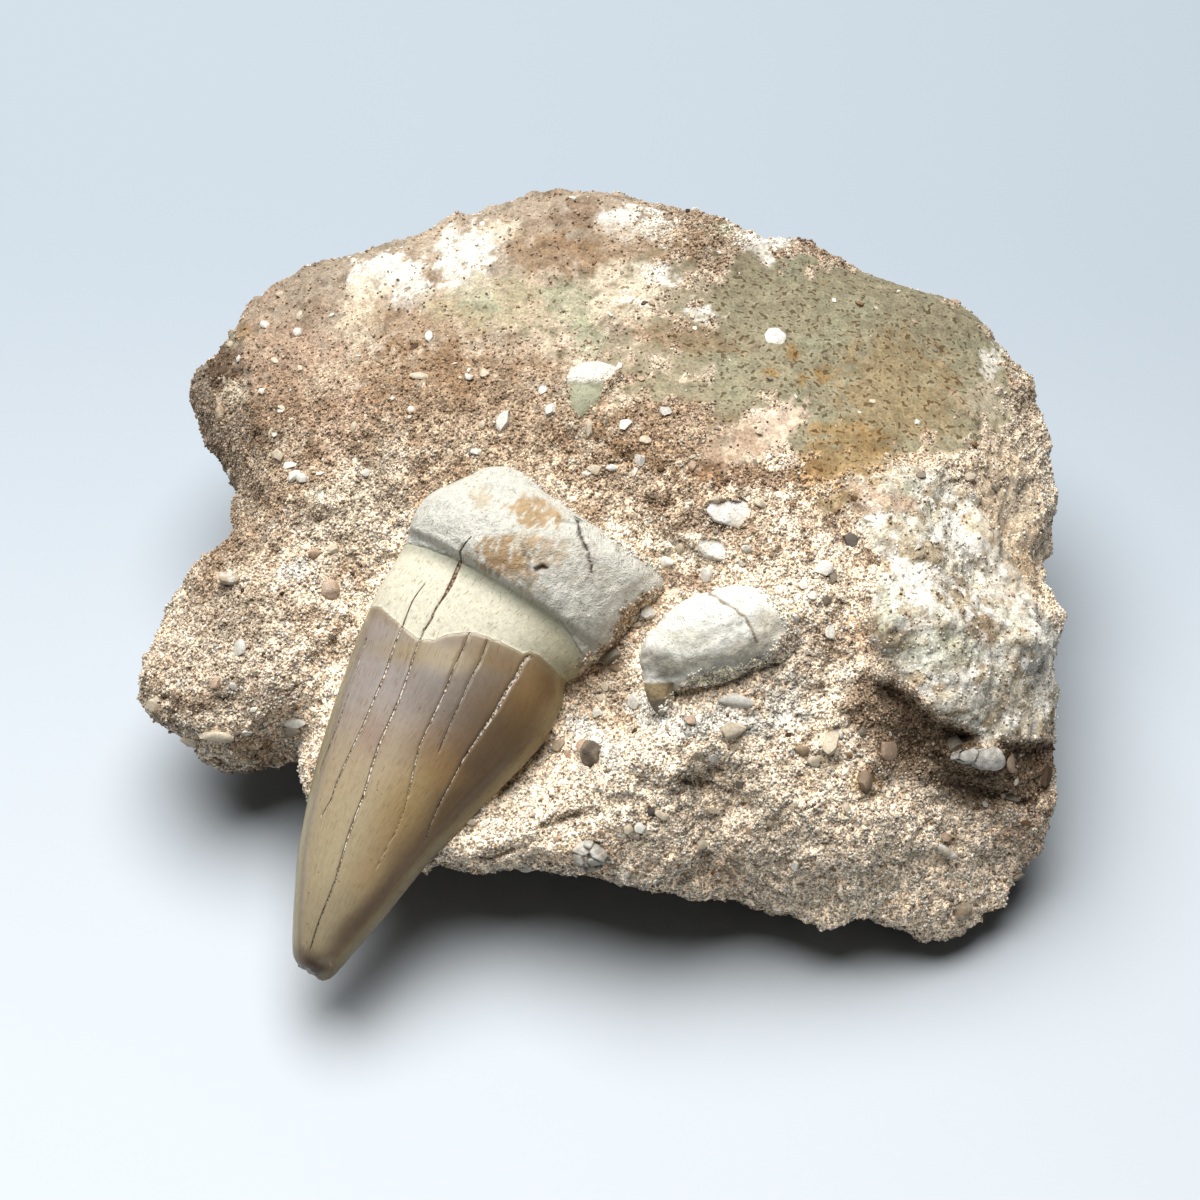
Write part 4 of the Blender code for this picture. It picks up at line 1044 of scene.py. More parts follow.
def tooth_grid():
    """Flat arrays over the tooth's points, which lie in rows along it and columns round it."""
    first, last = TOOTH_SECTIONS[0, 0], TOOTH_SECTIONS[-1, 0]
    rows = np.linspace(first, last, int((last - first) / TOOTH_ROW))
    left, right, top, under, lens, slant = smooth_rows(TOOTH_SECTIONS, rows).T
    even = np.linspace(-1.0, 1.0, TOOTH_COLUMNS)
    front = 0.6 * even + 0.4 * np.sin(even * math.pi / 2)
    behind = -np.sin(np.linspace(-1.0, 1.0, TOOTH_BACK_COLUMNS + 2)[1:-1] * math.pi / 2)
    spread = np.concatenate([front, behind])
    in_front = np.arange(len(spread)) < TOOTH_COLUMNS
    half, middle = ((right - left) / 2)[:, None], ((right + left) / 2)[:, None]
    across = middle + half * spread
    body = np.maximum(0.0, 1.0 - spread**2) ** (lens[:, None] / 2)
    return SimpleNamespace(
        rows=rows, left=left, right=right, half=half[:, 0], share=(spread + 1) / 2,
        columns=len(spread), across=across.ravel(),
        along=(rows[:, None] - slant[:, None] * across).ravel(),
        height=(np.where(in_front, top[:, None], under[:, None]) * body).ravel(),
        facing=np.tile(in_front, len(rows)).astype(float), spread=np.tile(spread, len(rows)),
        from_left=((spread + 1) * half).ravel(), from_right=((1 - spread) * half).ravel(),
    )


def crack_lanes(tree, grid):
    """For each row of the tooth, where across it the cracks lie and how wide each is. The places
    go from 0 at the left edge to 1 at the right."""
    nowhere = np.zeros(len(grid.rows))
    places, widths = [nowhere], [nowhere]
    for crack in CRACKS:
        line = traced(tree, crack)
        run, side, width = line[np.argsort(line[:, 0])].T
        low, high = np.interp(run, grid.rows, grid.left), np.interp(run, grid.rows, grid.right)
        places.append(np.interp(grid.rows, run, (side - low) / (high - low)))
        widths.append(np.interp(grid.rows, run, width, left=0.0, right=0.0))
    places = np.array([*places, nowhere + 1.0])
    apart = np.arange(len(places))[:, None] * 1e-4
    return np.maximum.accumulate(places + apart, axis=0), np.array([*widths, nowhere])


def add_cracks(grid, tree):
    """Each point's lane between two cracks, that lane's width, and the nearest crack's width."""
    places, widths = crack_lanes(tree, grid)
    lane, gap, crack = (np.zeros((len(grid.rows), grid.columns)) for _ in range(3))
    for k, half in enumerate(grid.half):
        lane[k] = np.interp(grid.share, places[:, k], np.arange(len(places)))
        which = np.clip(np.floor(lane[k]).astype(int), 0, len(places) - 2)
        gap[k] = np.diff(places[:, k])[which] * 2 * half
        crack[k] = widths[np.rint(lane[k]).astype(int), k]
    grid.lane, grid.gap, grid.crack = lane.ravel(), gap.ravel(), crack.ravel() * grid.facing


def past_line(grid, line):
    """How far past a traced line each point lies."""
    line = line[np.argsort(line[:, 1])]
    return grid.along - np.interp(grid.across, line[:, 1], line[:, 0])


def off_crack(points, x, y, line):
    """How far each point of the root lies from a jagged crack, in pixels."""
    return line_distance(x + noises(points, (3.0, 0.7, 8)), y, line)


def tooth_points(grid):
    """Places of the grid's points, with the relief of the visible face."""
    along_axis, across_axis, up = tooth_axes()
    height = grid.height
    on_crown = smooth_step(0.5 - grid.to_enamel / 0.5)
    off_tip = above(grid.along, GROOVES_END)
    for edge, width in ((grid.from_left, FLANGE_LEFT), (grid.from_right, FLANGE_RIGHT)):
        groove = np.exp(-(((edge - width) / 0.45) ** 2))
        height = height - 0.09 * groove * on_crown * off_tip * grid.facing
    height = height + 0.16 * on_crown * grid.facing
    off = np.abs(grid.lane - np.rint(grid.lane)) * grid.gap
    open_crack = smooth_step(1.2 - off / np.maximum(0.5 * grid.crack + 0.1, 0.1))
    height = height - 0.18 * open_crack * (grid.crack > 0.05)
    points = pushed(np.array(ENAMEL_CENTRE), along_axis, grid.along)
    points = pushed(pushed(points, across_axis, grid.across), up, height)

    on_root = smooth_step(grid.to_root / 0.6 + 0.5)
    rough = noises(points, (0.35, 3.4, 1), (0.2, 1.4, 2), (0.08, 0.7, 7))
    points = pushed(points, up, rough * on_root * grid.facing)
    points = pushed(points, up, noises(points, (0.06, 5.0, 3)) * grid.facing)
    x, y = seen(points)
    for line, reach, depth in ROOT_CRACKS:
        off_line = off_crack(points, x, y, line)
        points = pushed(points, up, -depth * smooth_step(1.0 - off_line / reach) * grid.facing)
    worn = below(grid.along, TIP_WORN)
    _, chipped, _ = crumbs_at(points, 2.2, SEED + 4)
    along_it, off_it = (0.22 * worn * chipped)[:, None], (0.2 * worn * chipped)[:, None]
    return points + (along_axis * along_it + up * off_it)


def tooth_mesh(points, columns):
    """A closed mesh over the grid, with a point in the middle of each end."""
    index = np.arange(len(points)).reshape(-1, columns)
    here, there = index[:-1], index[1:]
    faces = np.stack([here, there, np.roll(there, -1, 1), np.roll(here, -1, 1)], -1)
    faces = faces.reshape(-1, 4).tolist()
    for ring, flip in ((index[0], False), (index[-1], True)):
        points = np.vstack([points, points[ring].mean(0)])
        pair = (np.roll(ring, -1), ring) if flip else (ring, np.roll(ring, -1))
        faces += [(int(a), int(b), len(points) - 1) for a, b in zip(*pair)]
    points = np.maximum(points, BOX_LOW)
    mesh = bpy.data.meshes.new("tooth_of_shark")
    mesh.from_pydata((points * MM).tolist(), [], faces)
    bm = bmesh.new()
    bm.from_mesh(mesh)
    if bm.calc_volume(signed=True) < 0:
        bmesh.ops.reverse_faces(bm, faces=bm.faces)
    bm.to_mesh(mesh)
    bm.free()
    mesh.shade_smooth()
    return mesh


def shark_tooth():
    tree = tree_of(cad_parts["shark_tooth"].data)
    grid = tooth_grid()
    add_cracks(grid, tree)
    visible = grid.facing > 0
    grid.to_enamel = np.where(visible, past_line(grid, traced(tree, ENAMEL_EDGE)), grid.along)
    grid.to_root = np.where(visible, past_line(grid, traced(tree, ROOT_EDGE)), grid.along - ROOT_BEHIND)
    points = tooth_points(grid)
    mesh = tooth_mesh(points, grid.columns)
    values = {
        "tint": tooth_tint(np.maximum(points, BOX_LOW), grid), "along": grid.along,
        "fan": grid.spread * FAN_WIDTH, "enamel": grid.to_enamel, "root": grid.to_root,
        "lane": grid.lane, "gap": grid.gap, "crack": grid.crack,
    }
    for name, value in values.items():
        give(mesh, name, np.concatenate([value, value[:1], value[-1:]]))
    obj = new_piece("tooth_of_shark", mesh, tooth_look())
    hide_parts("shark_tooth")
    return obj


def enamel_tint(points, x, y, grid):
    shift_x, shift_y = noises(points, (5.0, 4.0, 11)), noises(points, (5.0, 4.0, 12))
    tint = coat(points, (164, 147, 121))
    tint = patched(tint, x + shift_x, y + shift_y, ENAMEL_PATCHES, 0.7, grid.facing)
    to_enamel = grid.to_enamel
    near_edge = smooth_step(1.0 + to_enamel / 1.6) * smooth_step((to_enamel + 1.8) / 1.0)
    tint = painted(tint, (170, 150, 112), 0.5 * near_edge) * (1.04, 1.07, 1.14)
    strip = smooth_step((FLANGE_LEFT - grid.from_left) / 0.5)
    tint = painted(tint, (166, 158, 126), strip * 0.6)
    # Painted shade: a darker line along the groove inside the left flange.
    line = np.exp(-(((grid.from_left - FLANGE_LEFT) / 0.4) ** 2))
    tint = painted(tint, (140, 130, 118), line * 0.55)
    strip = smooth_step((FLANGE_RIGHT - grid.from_right) / 0.9)
    tint = painted(tint, (168, 152, 108), strip * 0.6)
    worn = below(grid.along, TIP_DARK)
    return painted(tint, (100, 86, 72), worn * 0.6 * (1.0 - grid.facing * 0.6))


def root_tint(points, x, y, grid):
    tint = coat(points, (250, 247, 234))
    shift_x, shift_y = noises(points, (5.0, 1.2, 13)), noises(points, (5.0, 1.2, 14))
    run, side = along_and_across(points)
    threads = np.column_stack([run * 0.3, side, points[:, 2] * 0.2])
    torn = 1.3 * noise_at(threads, 0.45, 15) + 0.6 * noise_at(points, 1.3, 16)

    def tear(share):
        return smooth_step((share + torn * np.sqrt(share) - 0.25) * 1.8)

    # Real stains, and painted shade in the greyish patches.
    tint = patched(tint, x + shift_x, y + shift_y, ROOT_STAINS_AND_SHADE, 0.6, grid.facing, tear)
    for line, reach, depth in ROOT_CRACKS:
        off_line = off_crack(points, x, y, line)
        share = smooth_step(1.3 - off_line / reach) * min(1.0, depth * 3.0)
        tint = painted(tint, (76, 54, 38), share * grid.facing)
    return tint


def tooth_tint(points, grid):
    """The tooth's colours: enamel, the pale band above it with a painted shadow under the root's step, and
    the chalky root with its stains and some painted shade.
    """
    x, y = seen(points)
    band = coat(points, (238, 232, 210))
    band = painted(band, (192, 184, 152), above(x, BAND_DARKENS) * 0.8)
    # Painted shadow: a grey-green line just below the root's step, where the root's edge shades the band.
    band = painted(band, (190, 190, 168), np.exp(-(((grid.to_root + 0.6) / 0.9) ** 2)) * 0.7)
    bare = blended(band, root_tint(points, x, y, grid), smooth_step(grid.to_root / 0.5 + 0.5))
    return blended(enamel_tint(points, x, y, grid), bare, smooth_step(grid.to_enamel / 0.3 + 0.5))


# Fossils beside the tooth


def refined(node, size, rounds, *relief):
    """A finer mesh of a solid, smoothed and with relief by layers of noise."""
    mesh = remeshed(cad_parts[node], size)
    relax(mesh, rounds)
    mesh.shade_smooth()
    points = points_of(mesh)
    move_to(mesh, pushed(points, normals_of(mesh), noises(points, *relief)))
    return mesh


def root_lobe():
    mesh = refined("side_cusp", 0.18, 6, (0.3, 4.0, 0), (0.2, 1.5, 1), (0.08, 0.7, 2))
    points = points_of(mesh)
    x, y = seen(points)
    wave = noises(points, (4.0, 1.2, 5))
    # The lobe's grey lower side is painted shade.
    tint = patched(coat(points, (251, 248, 237)), x + wave, y + wave, LOBE_PATCHES_AND_SHADE, 0.5)
    cusp = above(y + wave * 0.3, CUSP_TOP) * below(x, CUSP_RIGHT)
    tint = painted(tint, (180, 160, 124), cusp)
    tint = painted(tint, (128, 122, 110), cusp * above(y, CUSP_TIP) * 0.7)
    off_line = line_distance(x, y + wave * 0.5, LOBE_CRACK) + wave * 0.25
    split = smooth_step(1.5 - off_line / 1.3)
    move_to(mesh, pushed(points, normals_of(mesh), -0.12 * split))
    give(mesh, "tint", painted(tint, (136, 108, 78), split * 0.75))
    obj = new_piece("lobe_of_root", mesh, bone_look("root bone"))
    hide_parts("side_cusp")
    return obj


def crest_tooth():
    mesh = refined("small_tooth", 0.14, 4, (0.08, 1.2, 0), (0.04, 0.5, 1))
    points = points_of(mesh)
    x, y = seen(points)
    cap = below(y - noises(points, (2.0, 1.0, 5)), CAP_EDGE)
    tint = patched(coat(points, (188, 186, 158)), x, y, CREST_SHADE, 0.6)
    give(mesh, "tint", painted(tint, (248, 243, 230), cap))
    obj = new_piece("tooth_on_crest", mesh, bone_look("small tooth", 0.45))
    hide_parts("small_tooth")
    return obj


def broken_plate(points, seed):
    """Cuts straight edges and a flat top on a rounded fragment."""
    rng = np.random.default_rng(SEED + seed)
    outward = unit((0.0, -0.3, 1.0))
    sideways = unit(np.cross(outward, (1.0, 0.2, 0.0)))
    level = points @ outward
    points = pushed(points, outward, -0.7 * np.maximum(level - 0.5 * level.max(), 0.0))
    for turn in np.arange(7) * math.pi / 3.5 + rng.uniform(-0.3, 0.3, 7):
        facing = math.cos(turn) * sideways + math.sin(turn) * np.cross(outward, sideways)
        reach = points @ facing
        beyond = np.maximum(reach - rng.uniform(0.7, 0.95) * reach.max(), 0.0)
        points = pushed(points, facing, -0.92 * beyond)
    return points


def fragment_piece(node, colour, second, mottling, lumps, roughness):
    mesh = refined(node, 0.12, 6, (lumps, 1.6, 0), (lumps * 0.5, 0.6, 1))
    points = points_of(mesh)
    if node in PLATES:
        middle = points.mean(axis=0)
        points = middle + broken_plate(points - middle, len(node)) * PLATES[node]
        move_to(mesh, points)
    share = smooth_step(0.5 + noises(points, (0.9, mottling, 6)))
    tint = painted(coat(points, colour), second, share)
    if node in CRACKED:
        _, face, gap = crumbs_at(points, CRACKED[node], SEED + 9)
        split = smooth_step(1.0 - gap / 0.22)
        tint = painted(tint, (120, 104, 86), split * 0.8)
        move_to(mesh, pushed(points, normals_of(mesh), 0.3 * face - 0.15 * split))
    give(mesh, "tint", tint)
    obj = new_piece(node + "_skin", mesh, bone_look(node.replace("_", " "), roughness))
    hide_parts(node)
    return obj


# The rock


def finer_where(mesh, chosen):
    """Splits the chosen faces' edges once."""
    bm = bmesh.new()
    bm.from_mesh(mesh)
    bm.faces.ensure_lookup_table()
    edges = dict.fromkeys(edge for k in np.flatnonzero(chosen) for edge in bm.faces[k].edges)
    bmesh.ops.subdivide_edges(bm, edges=list(edges), cuts=1, use_grid_fill=True)
    bm.to_mesh(mesh)
    bm.free()


def fossil_distance(points, fossils):
    """Distance to the nearest fossil, its nearest point and the outward normal there."""
    away = np.full(len(points), SEARCH_REACH)
    nearest, outward = points.copy(), np.zeros_like(points)
    for tree, low, high in fossils:
        near = ((points > low - SEARCH_REACH) & (points < high + SEARCH_REACH)).all(axis=1)
        for k in np.flatnonzero(near):
            place, normal, _, distance = tree.find_nearest(Vector(points[k] * MM), away[k] * MM)
            if place is not None:
                place, normal = np.array(place) / MM, np.array(normal)
                away[k], nearest[k], outward[k] = distance / MM, place, normal
    return away, nearest, outward


def lump_tint(points, x, y, lump):
    """The pale lump: crumbs of chalk, cream and tan with darker seams, and larger patches."""
    tint = coat(points, (255, 250, 238))
    on_lump = np.flatnonzero(lump > 0.01)
    crumb, _, gap = crumbs_at(points[on_lump], 1.7, SEED + 7)
    kind = np.random.default_rng(SEED + 8).random(20000)[crumb % 20000]
    seam = smooth_step(1.0 - gap / 0.35) * smooth_step(0.6 + noise_at(points[on_lump], 2.5, 43))
    crumbs = painted(tint[on_lump], (222, 211, 186), smooth_step((kind - 0.35) / 0.2) * 0.7)
    crumbs = painted(crumbs, (196, 178, 148), smooth_step((kind - 0.72) / 0.06) * 0.8)
    tint[on_lump] = painted(crumbs, (160, 138, 106), seam * 0.6)
    torn = noises(points, (0.5, 1.0, 49))

    def tear(share):
        return smooth_step((share + torn * share - 0.2) * 1.6)

    return patched(mottled(tint, points, LUMP_TONES), x, y, LUMP_PATCHES, 0.5, 1.0, tear)


def rock_colours(points, normals, lump, clay, facing):
    """Tint of the rock at each point, with painted light on its front and painted shade on its underside.
    """
    x, y = seen(points)
    x = noises(points, (7.0, 2.2, 31), (4.0, 0.9, 33), start=x)
    y = noises(points, (7.0, 2.2, 32), (4.0, 0.9, 34), start=y)
    tint = mottled(coat(points, (232, 212, 187)), points, ROCK_TONES)
    tint = blended(tint, lump_tint(points, x, y, lump), lump)
    tint = blended(tint, mottled(coat(points, (186, 176, 147)), points, CLAY_TONES), clay)
    # Painted light: the colour facing the camera is lightened, more towards the front, to make up for the
    # key light behind.
    painted_light = np.interp(y, *LIGHTER_DOWN) * np.interp(x, *LIGHTER_ACROSS)
    tint *= (1.0 + (painted_light - 1.0) * facing * (1.0 - lump))[:, None]
    # Painted shade: faces turned downwards are painted darker, which also darkens the floor's shadow under
    # the block.
    under = smooth_step((-normals[:, 2] - 0.1) / 0.5)
    tint *= (1.0 - 0.55 * under)[:, None]
    torn = noises(points, (0.7, 0.9, 49), (0.8, 2.4, 50))

    def tear(share):
        return smooth_step((share + torn * np.sqrt(share) - 0.22) * 2.8)

    tint = patched(tint, x, y, PATCHES, 0.8, facing * (1.0 - 0.6 * lump), tear)
    return tint / np.maximum(tint.max(axis=1, keepdims=True) / 0.92, 1.0)


def undercut(x, y):
    """1 just below the ledge's edge, going down to 0 at its reach."""
    edge = np.array(LEDGE, float)
    under = y - np.interp(x, edge[:, 0], edge[:, 1])
    fading = np.clip(1.0 - line_distance(x, y, LEDGE) / LEDGE_REACH, 0.0, 1.0) ** 1.3
    ends = above(x, LEDGE_START) * below(x, LEDGE_END)
    return smooth_step(0.5 + under / 13.0) * fading * ends


def rock_zones(points, normals):
    """Where each point of the rock is seen, and its share of lump, clay and ledge there."""
    x, y = seen(points)
    facing = smooth_step((normals @ TO_CAMERA) / 0.25 + 0.3)
    wave_x, wave_y = noises(points, (6.0, 3.0, 51)), noises(points, (6.0, 3.0, 52))
    lump = smooth_step(0.5 + inside_distance(x + wave_x, y + wave_y, LUMP_SEEN) / 8.0) * facing
    torn = noises(points, (26.0, 3.2, 54), (16.0, 1.3, 55))
    clay = smooth_step(0.5 + (inside_distance(x, y, CLAY_OUTLINE) + torn) / 5.0) * facing
    clay *= np.where(x < BROKEN_CLAY, smooth_step(noise_at(points, 3.6, 53) * 2.0 + 0.5), 1.0)
    weak = smooth_step(0.5 + (inside_distance(x, y, WEAK_CLAY) + torn) / 10.0) * facing
    scattered = smooth_step(noises(points, (1.0, 2.6, 58), (0.5, 1.2, 59)) * 2.5 + 0.35)
    clay = np.maximum(clay, weak * scattered * 0.85) * (1.0 - lump)
    ledge = undercut(x + wave_x * 0.5, y + wave_y * 0.5)
    return SimpleNamespace(
        x=x, y=y, wave_x=wave_x, wave_y=wave_y, facing=facing, lump=lump, clay=clay, ledge=ledge
    )


def rock_relief(points, zones):
    """Height of the rock's relief along its normals at each point."""
    lump, clay = zones.lump, zones.clay
    push = noises(points, (0.34, 6.0, 61), (0.28, 3.0, 62))
    push += noises(points, (0.22, 1.6, 63), (0.17, 0.95, 64))
    push -= 0.4 * smooth_step(noise_at(points, 3.4, 65) * 2.6 - 1.3)
    knobs = 0.05 * (1.0 - np.abs(noise_at(points, 2.4, 43)) - 0.6)
    knobs = noises(points, (0.07, 1.3, 66), (0.2, 4.0, 67), start=knobs)
    push = push * (1.0 - 0.6 * clay) * (1.0 - lump) + knobs * lump
    push -= 0.12 * clay * smooth_step(noise_at(points, 1.4, 68) * 3.0 - 1.2)
    crumbly = np.flatnonzero((zones.facing > 0.05) & (clay < 0.9))
    _, face, _ = crumbs_at(points[crumbly], 1.5, SEED + 5)
    push[crumbly] += 0.38 * face * (1.0 - clay[crumbly])
    on_lump = np.flatnonzero(lump > 0.01)
    _, face, _ = crumbs_at(points[on_lump], 3.2, SEED + 6)
    push[on_lump] += 0.15 * face * lump[on_lump]
    return push


def rock_hollows(zones):
    """How deep each point of the rock lies in hollows and under the ledge."""
    x, y = zones.x + zones.wave_x * 0.4, zones.y + zones.wave_y * 0.4
    sink = sum(hollow[5] * patch_share(x, y, hollow, 0.45) for hollow in HOLLOWS)
    return (sink + LEDGE_DEPTH * zones.ledge) * zones.facing


def meet_fossils(points, zones, fossils):
    """Draws the rock in round each fossil, and over the parts that sand hides."""
    away, nearest, outward = fossil_distance(points, fossils)
    tuck = smooth_step((SEAM_REACH - away) / 0.5)
    points = points + (nearest - outward * FOSSIL_SINK - points) * tuck[:, None]
    beside_tooth = -inside_distance(zones.x, zones.y, TOOTH_SHOWN)
    beside_lobe = -inside_distance(zones.x, zones.y, LOBE_SHOWN)
    covered = smooth_step(np.minimum(beside_tooth, beside_lobe) / 8.0)
    lap = np.clip(1.0 - away / 2.6, 0.0, 1.0) * covered * zones.facing
    return pushed(points, TO_CAMERA, 0.8 * lap), away


def rock_tint(points, normals, zones):
    ledge, facing = zones.ledge, zones.facing
    # Painted shade: the lump's paleness is taken out under the ledge, and the undercut and the area below
    # it are painted dark brown.
    lump = zones.lump * (1.0 - smooth_step(ledge * 3.0))
    tint = rock_colours(points, normals, lump, zones.clay, facing)
    tint = painted(tint, (104, 80, 58), np.sqrt(ledge) * facing * 0.7)
    shaded = inside_distance(zones.x + zones.wave_x, zones.y + zones.wave_y, LEDGE_SHADE)
    shaded = smooth_step(0.5 + (shaded + noises(points, (5.0, 1.1, 69))) / 20.0)
    return painted(tint, (116, 96, 74), shaded * facing * 0.75)


def sandiness(zones):
    """Share of loose grains at each point: less on clay, on the lump and in the soft areas."""
    x, y, facing = zones.x, zones.y, zones.facing
    softer = below(y, SOFT_ABOVE) * below(x, SOFT_LEFT) * facing
    strips = [patch_share(x, y, patch, 0.4) * strength for patch, strength in FINE_STRIPS]
    strip = np.maximum(*strips) * facing
    return (1.0 - zones.clay) * (1.0 - 0.6 * zones.lump) * (1.0 - 0.75 * softer) * (1.0 - strip)


def rock_skin(fossils):
    """The block's surface, with fine relief. It comes with what the grains need to know."""
    mesh = remeshed(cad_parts["rock"], ROCK_STEP)
    mesh.shade_smooth()
    trees = []
    for fossil in fossils:
        corners = points_of(fossil.data)
        trees.append((tree_of(fossil.data), corners.min(0), corners.max(0)))
    middles = rows_of(mesh.polygons, "center", 3).astype(float) / MM
    outward = rows_of(mesh.polygons, "normal", 3).astype(float)
    away, _, _ = fossil_distance(middles, trees)
    finer_where(mesh, (outward @ TO_CAMERA > 0.12) & (away > 0.55))

    base = points_of(mesh)[:, 2] < 0.7
    points = relax(mesh, 5, base.astype(float))
    normals = normals_of(mesh)
    away, _, _ = fossil_distance(points, trees)
    free = smooth_step((away - 0.4) / 1.0) * (1.0 - base)
    zones = rock_zones(points, normals)
    push = rock_relief(points, zones)
    points = pushed(points, normals, push * free)
    points = pushed(points, TO_CAMERA, -rock_hollows(zones) * free)
    points, away = meet_fossils(points, zones, trees)
    points = in_box(points, EDGE_MARGIN)
    points[points[:, 2] < 0.25, 2] = 0.0
    move_to(mesh, points)

    tint, sandy = rock_tint(points, normals_of(mesh), zones), sandiness(zones)
    give(mesh, "tint", tint)
    give(mesh, "sandy", sandy)
    obj = new_piece("rock_skin", mesh, rock_look())
    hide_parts("rock")
    open_share = 1.0 - smooth_step((0.35 - away) / 0.2)
    return obj, SimpleNamespace(tint=tint, sandy=sandy, open=open_share, facing=zones.facing)


def sink_hidden(fossil, outline):
    """Lowers a fossil's surface a little where sand covers it in the photograph."""
    points, normals = points_of(fossil.data), normals_of(fossil.data)
    outside = smooth_step(-inside_distance(*seen(points), outline) / 10.0)
    move_to(fossil.data, in_box(pushed(points, normals, -HIDDEN_SINK * outside)))


def crust_over(fossil, outline, look):
    """Sand that laps over a fossil where the photograph's outline leaves it out."""
    mesh = fossil.data.copy()
    points, normals = points_of(mesh), normals_of(mesh)
    x, y = seen(points)
    outside = noises(points, (5.0, 1.6, 71), (3.0, 0.7, 72)) - inside_distance(x, y, outline)
    lift = np.clip(outside / 26.0, -0.15, 1.0) * 0.7 + noises(points, (0.1, 0.9, 73))
    move_to(mesh, pushed(points, normals, lift))
    bm = bmesh.new()
    bm.from_mesh(mesh)
    bm.verts.ensure_lookup_table()
    away = np.flatnonzero((outside < -4.0) | (normals @ TO_CAMERA < -0.3))
    bmesh.ops.delete(bm, geom=[bm.verts[k] for k in away], context="VERTS")
    bm.to_mesh(mesh)
    bm.free()
    points = points_of(mesh)
    move_to(mesh, in_box(points, EDGE_MARGIN))
    none = np.zeros(len(points))
    # Painted light: the front's lightening is given in full here, and the sand is painted lighter again
    # for its steep sides.
    tint = rock_colours(points, normals_of(mesh), none, none, none + 1.0)
    tint = np.minimum(tint * CRUST_PAINTED_LIGHT, 0.9)
    give(mesh, "tint", tint)
    give(mesh, "sandy", none + 1.0)
    new_piece("sand_over_" + fossil.name, mesh, look)
    return mesh, none + 1.0, tint


# What lies in the rock

OCTAHEDRON = np.array([(1, 0, 0), (-1, 0, 0), (0, 1, 0), (0, -1, 0), (0, 0, 1), (0, 0, -1)], float)
OCTAHEDRON_FACES = np.array([
    (0, 2, 4), (2, 1, 4), (1, 3, 4), (3, 0, 4), (2, 0, 5), (1, 2, 5), (3, 1, 5), (0, 3, 5),
])


def random_turns(rng, count):
    """Random rotations, as count 3 by 3 arrays."""
    w, x, y, z = unit(rng.normal(size=(count, 4))).T
    return np.stack([
        1 - 2 * (y * y + z * z), 2 * (x * y - z * w), 2 * (x * z + y * w),
        2 * (x * y + z * w), 1 - 2 * (x * x + z * z), 2 * (y * z - x * w),
        2 * (x * z - y * w), 2 * (y * z + x * w), 1 - 2 * (x * x + y * y),
    ], axis=1).reshape(count, 3, 3)


def sampled(rng, mesh, weight, count):
    """Random places on a mesh, thicker where the weight of its vertices is high. It gives the
    places, the normals and the nearest vertices."""
    mesh.calc_loop_triangles()
    corners = rows_of(mesh.loop_triangles, "vertices", 3, np.int32)
    points, normals = points_of(mesh), normals_of(mesh)
    a, b, c = (points[corners[:, k]] for k in range(3))
    area = np.linalg.norm(np.cross(b - a, c - a), axis=1) / 2
    chance = area * weight[corners].mean(axis=1)
    chosen = rng.choice(len(corners), size=count, p=chance / chance.sum())
    share = rng.dirichlet((1.0, 1.0, 1.0), size=count)
    trio = corners[chosen]
    place = (points[trio] * share[:, :, None]).sum(axis=1)
    normal = unit((normals[trio] * share[:, :, None]).sum(axis=1))
    return place, normal, trio[np.arange(count), share.argmax(axis=1)]


def joined(faces, corners, count):
    """The faces of many copies of a shape that has so many corners."""
    offset = (np.arange(count) * corners)[:, None, None]
    return (faces[None] + offset).reshape(-1, faces.shape[1])


def off_chips(place, chips):
    """Which places are clear of the chips, given as their places and sizes."""
    tree = point_tree(chips[0])
    near = [tree.find(point)[1:] for point in place]
    reach = chips[1][[k for k, _ in near]][:, :2].mean(axis=1) * 0.85
    return np.array([away for _, away in near]) > reach


def grain_tones(rng, place, tint):
    """Each grain's place on the scale of GRAIN_TONES, near the rock's tint there, which carries painted
    light and shade.
    """
    light = tint @ LUMINANCE
    tones = [albedo(colour) @ LUMINANCE for _, colour in GRAIN_TONES]
    tone = np.interp(light, tones, [at for at, _ in GRAIN_TONES])
    spread = np.interp(seen(place)[1], *GRAIN_SPREAD)
    chance = rng.normal(0.0, 1.0, len(place))
    tone = np.clip(tone + 0.4 * spread + 0.05 + chance * spread, 0.0, 1.0)
    dark = rng.random(len(place)) < spread * 0.4
    return np.where(dark, tone * 0.35, tone)


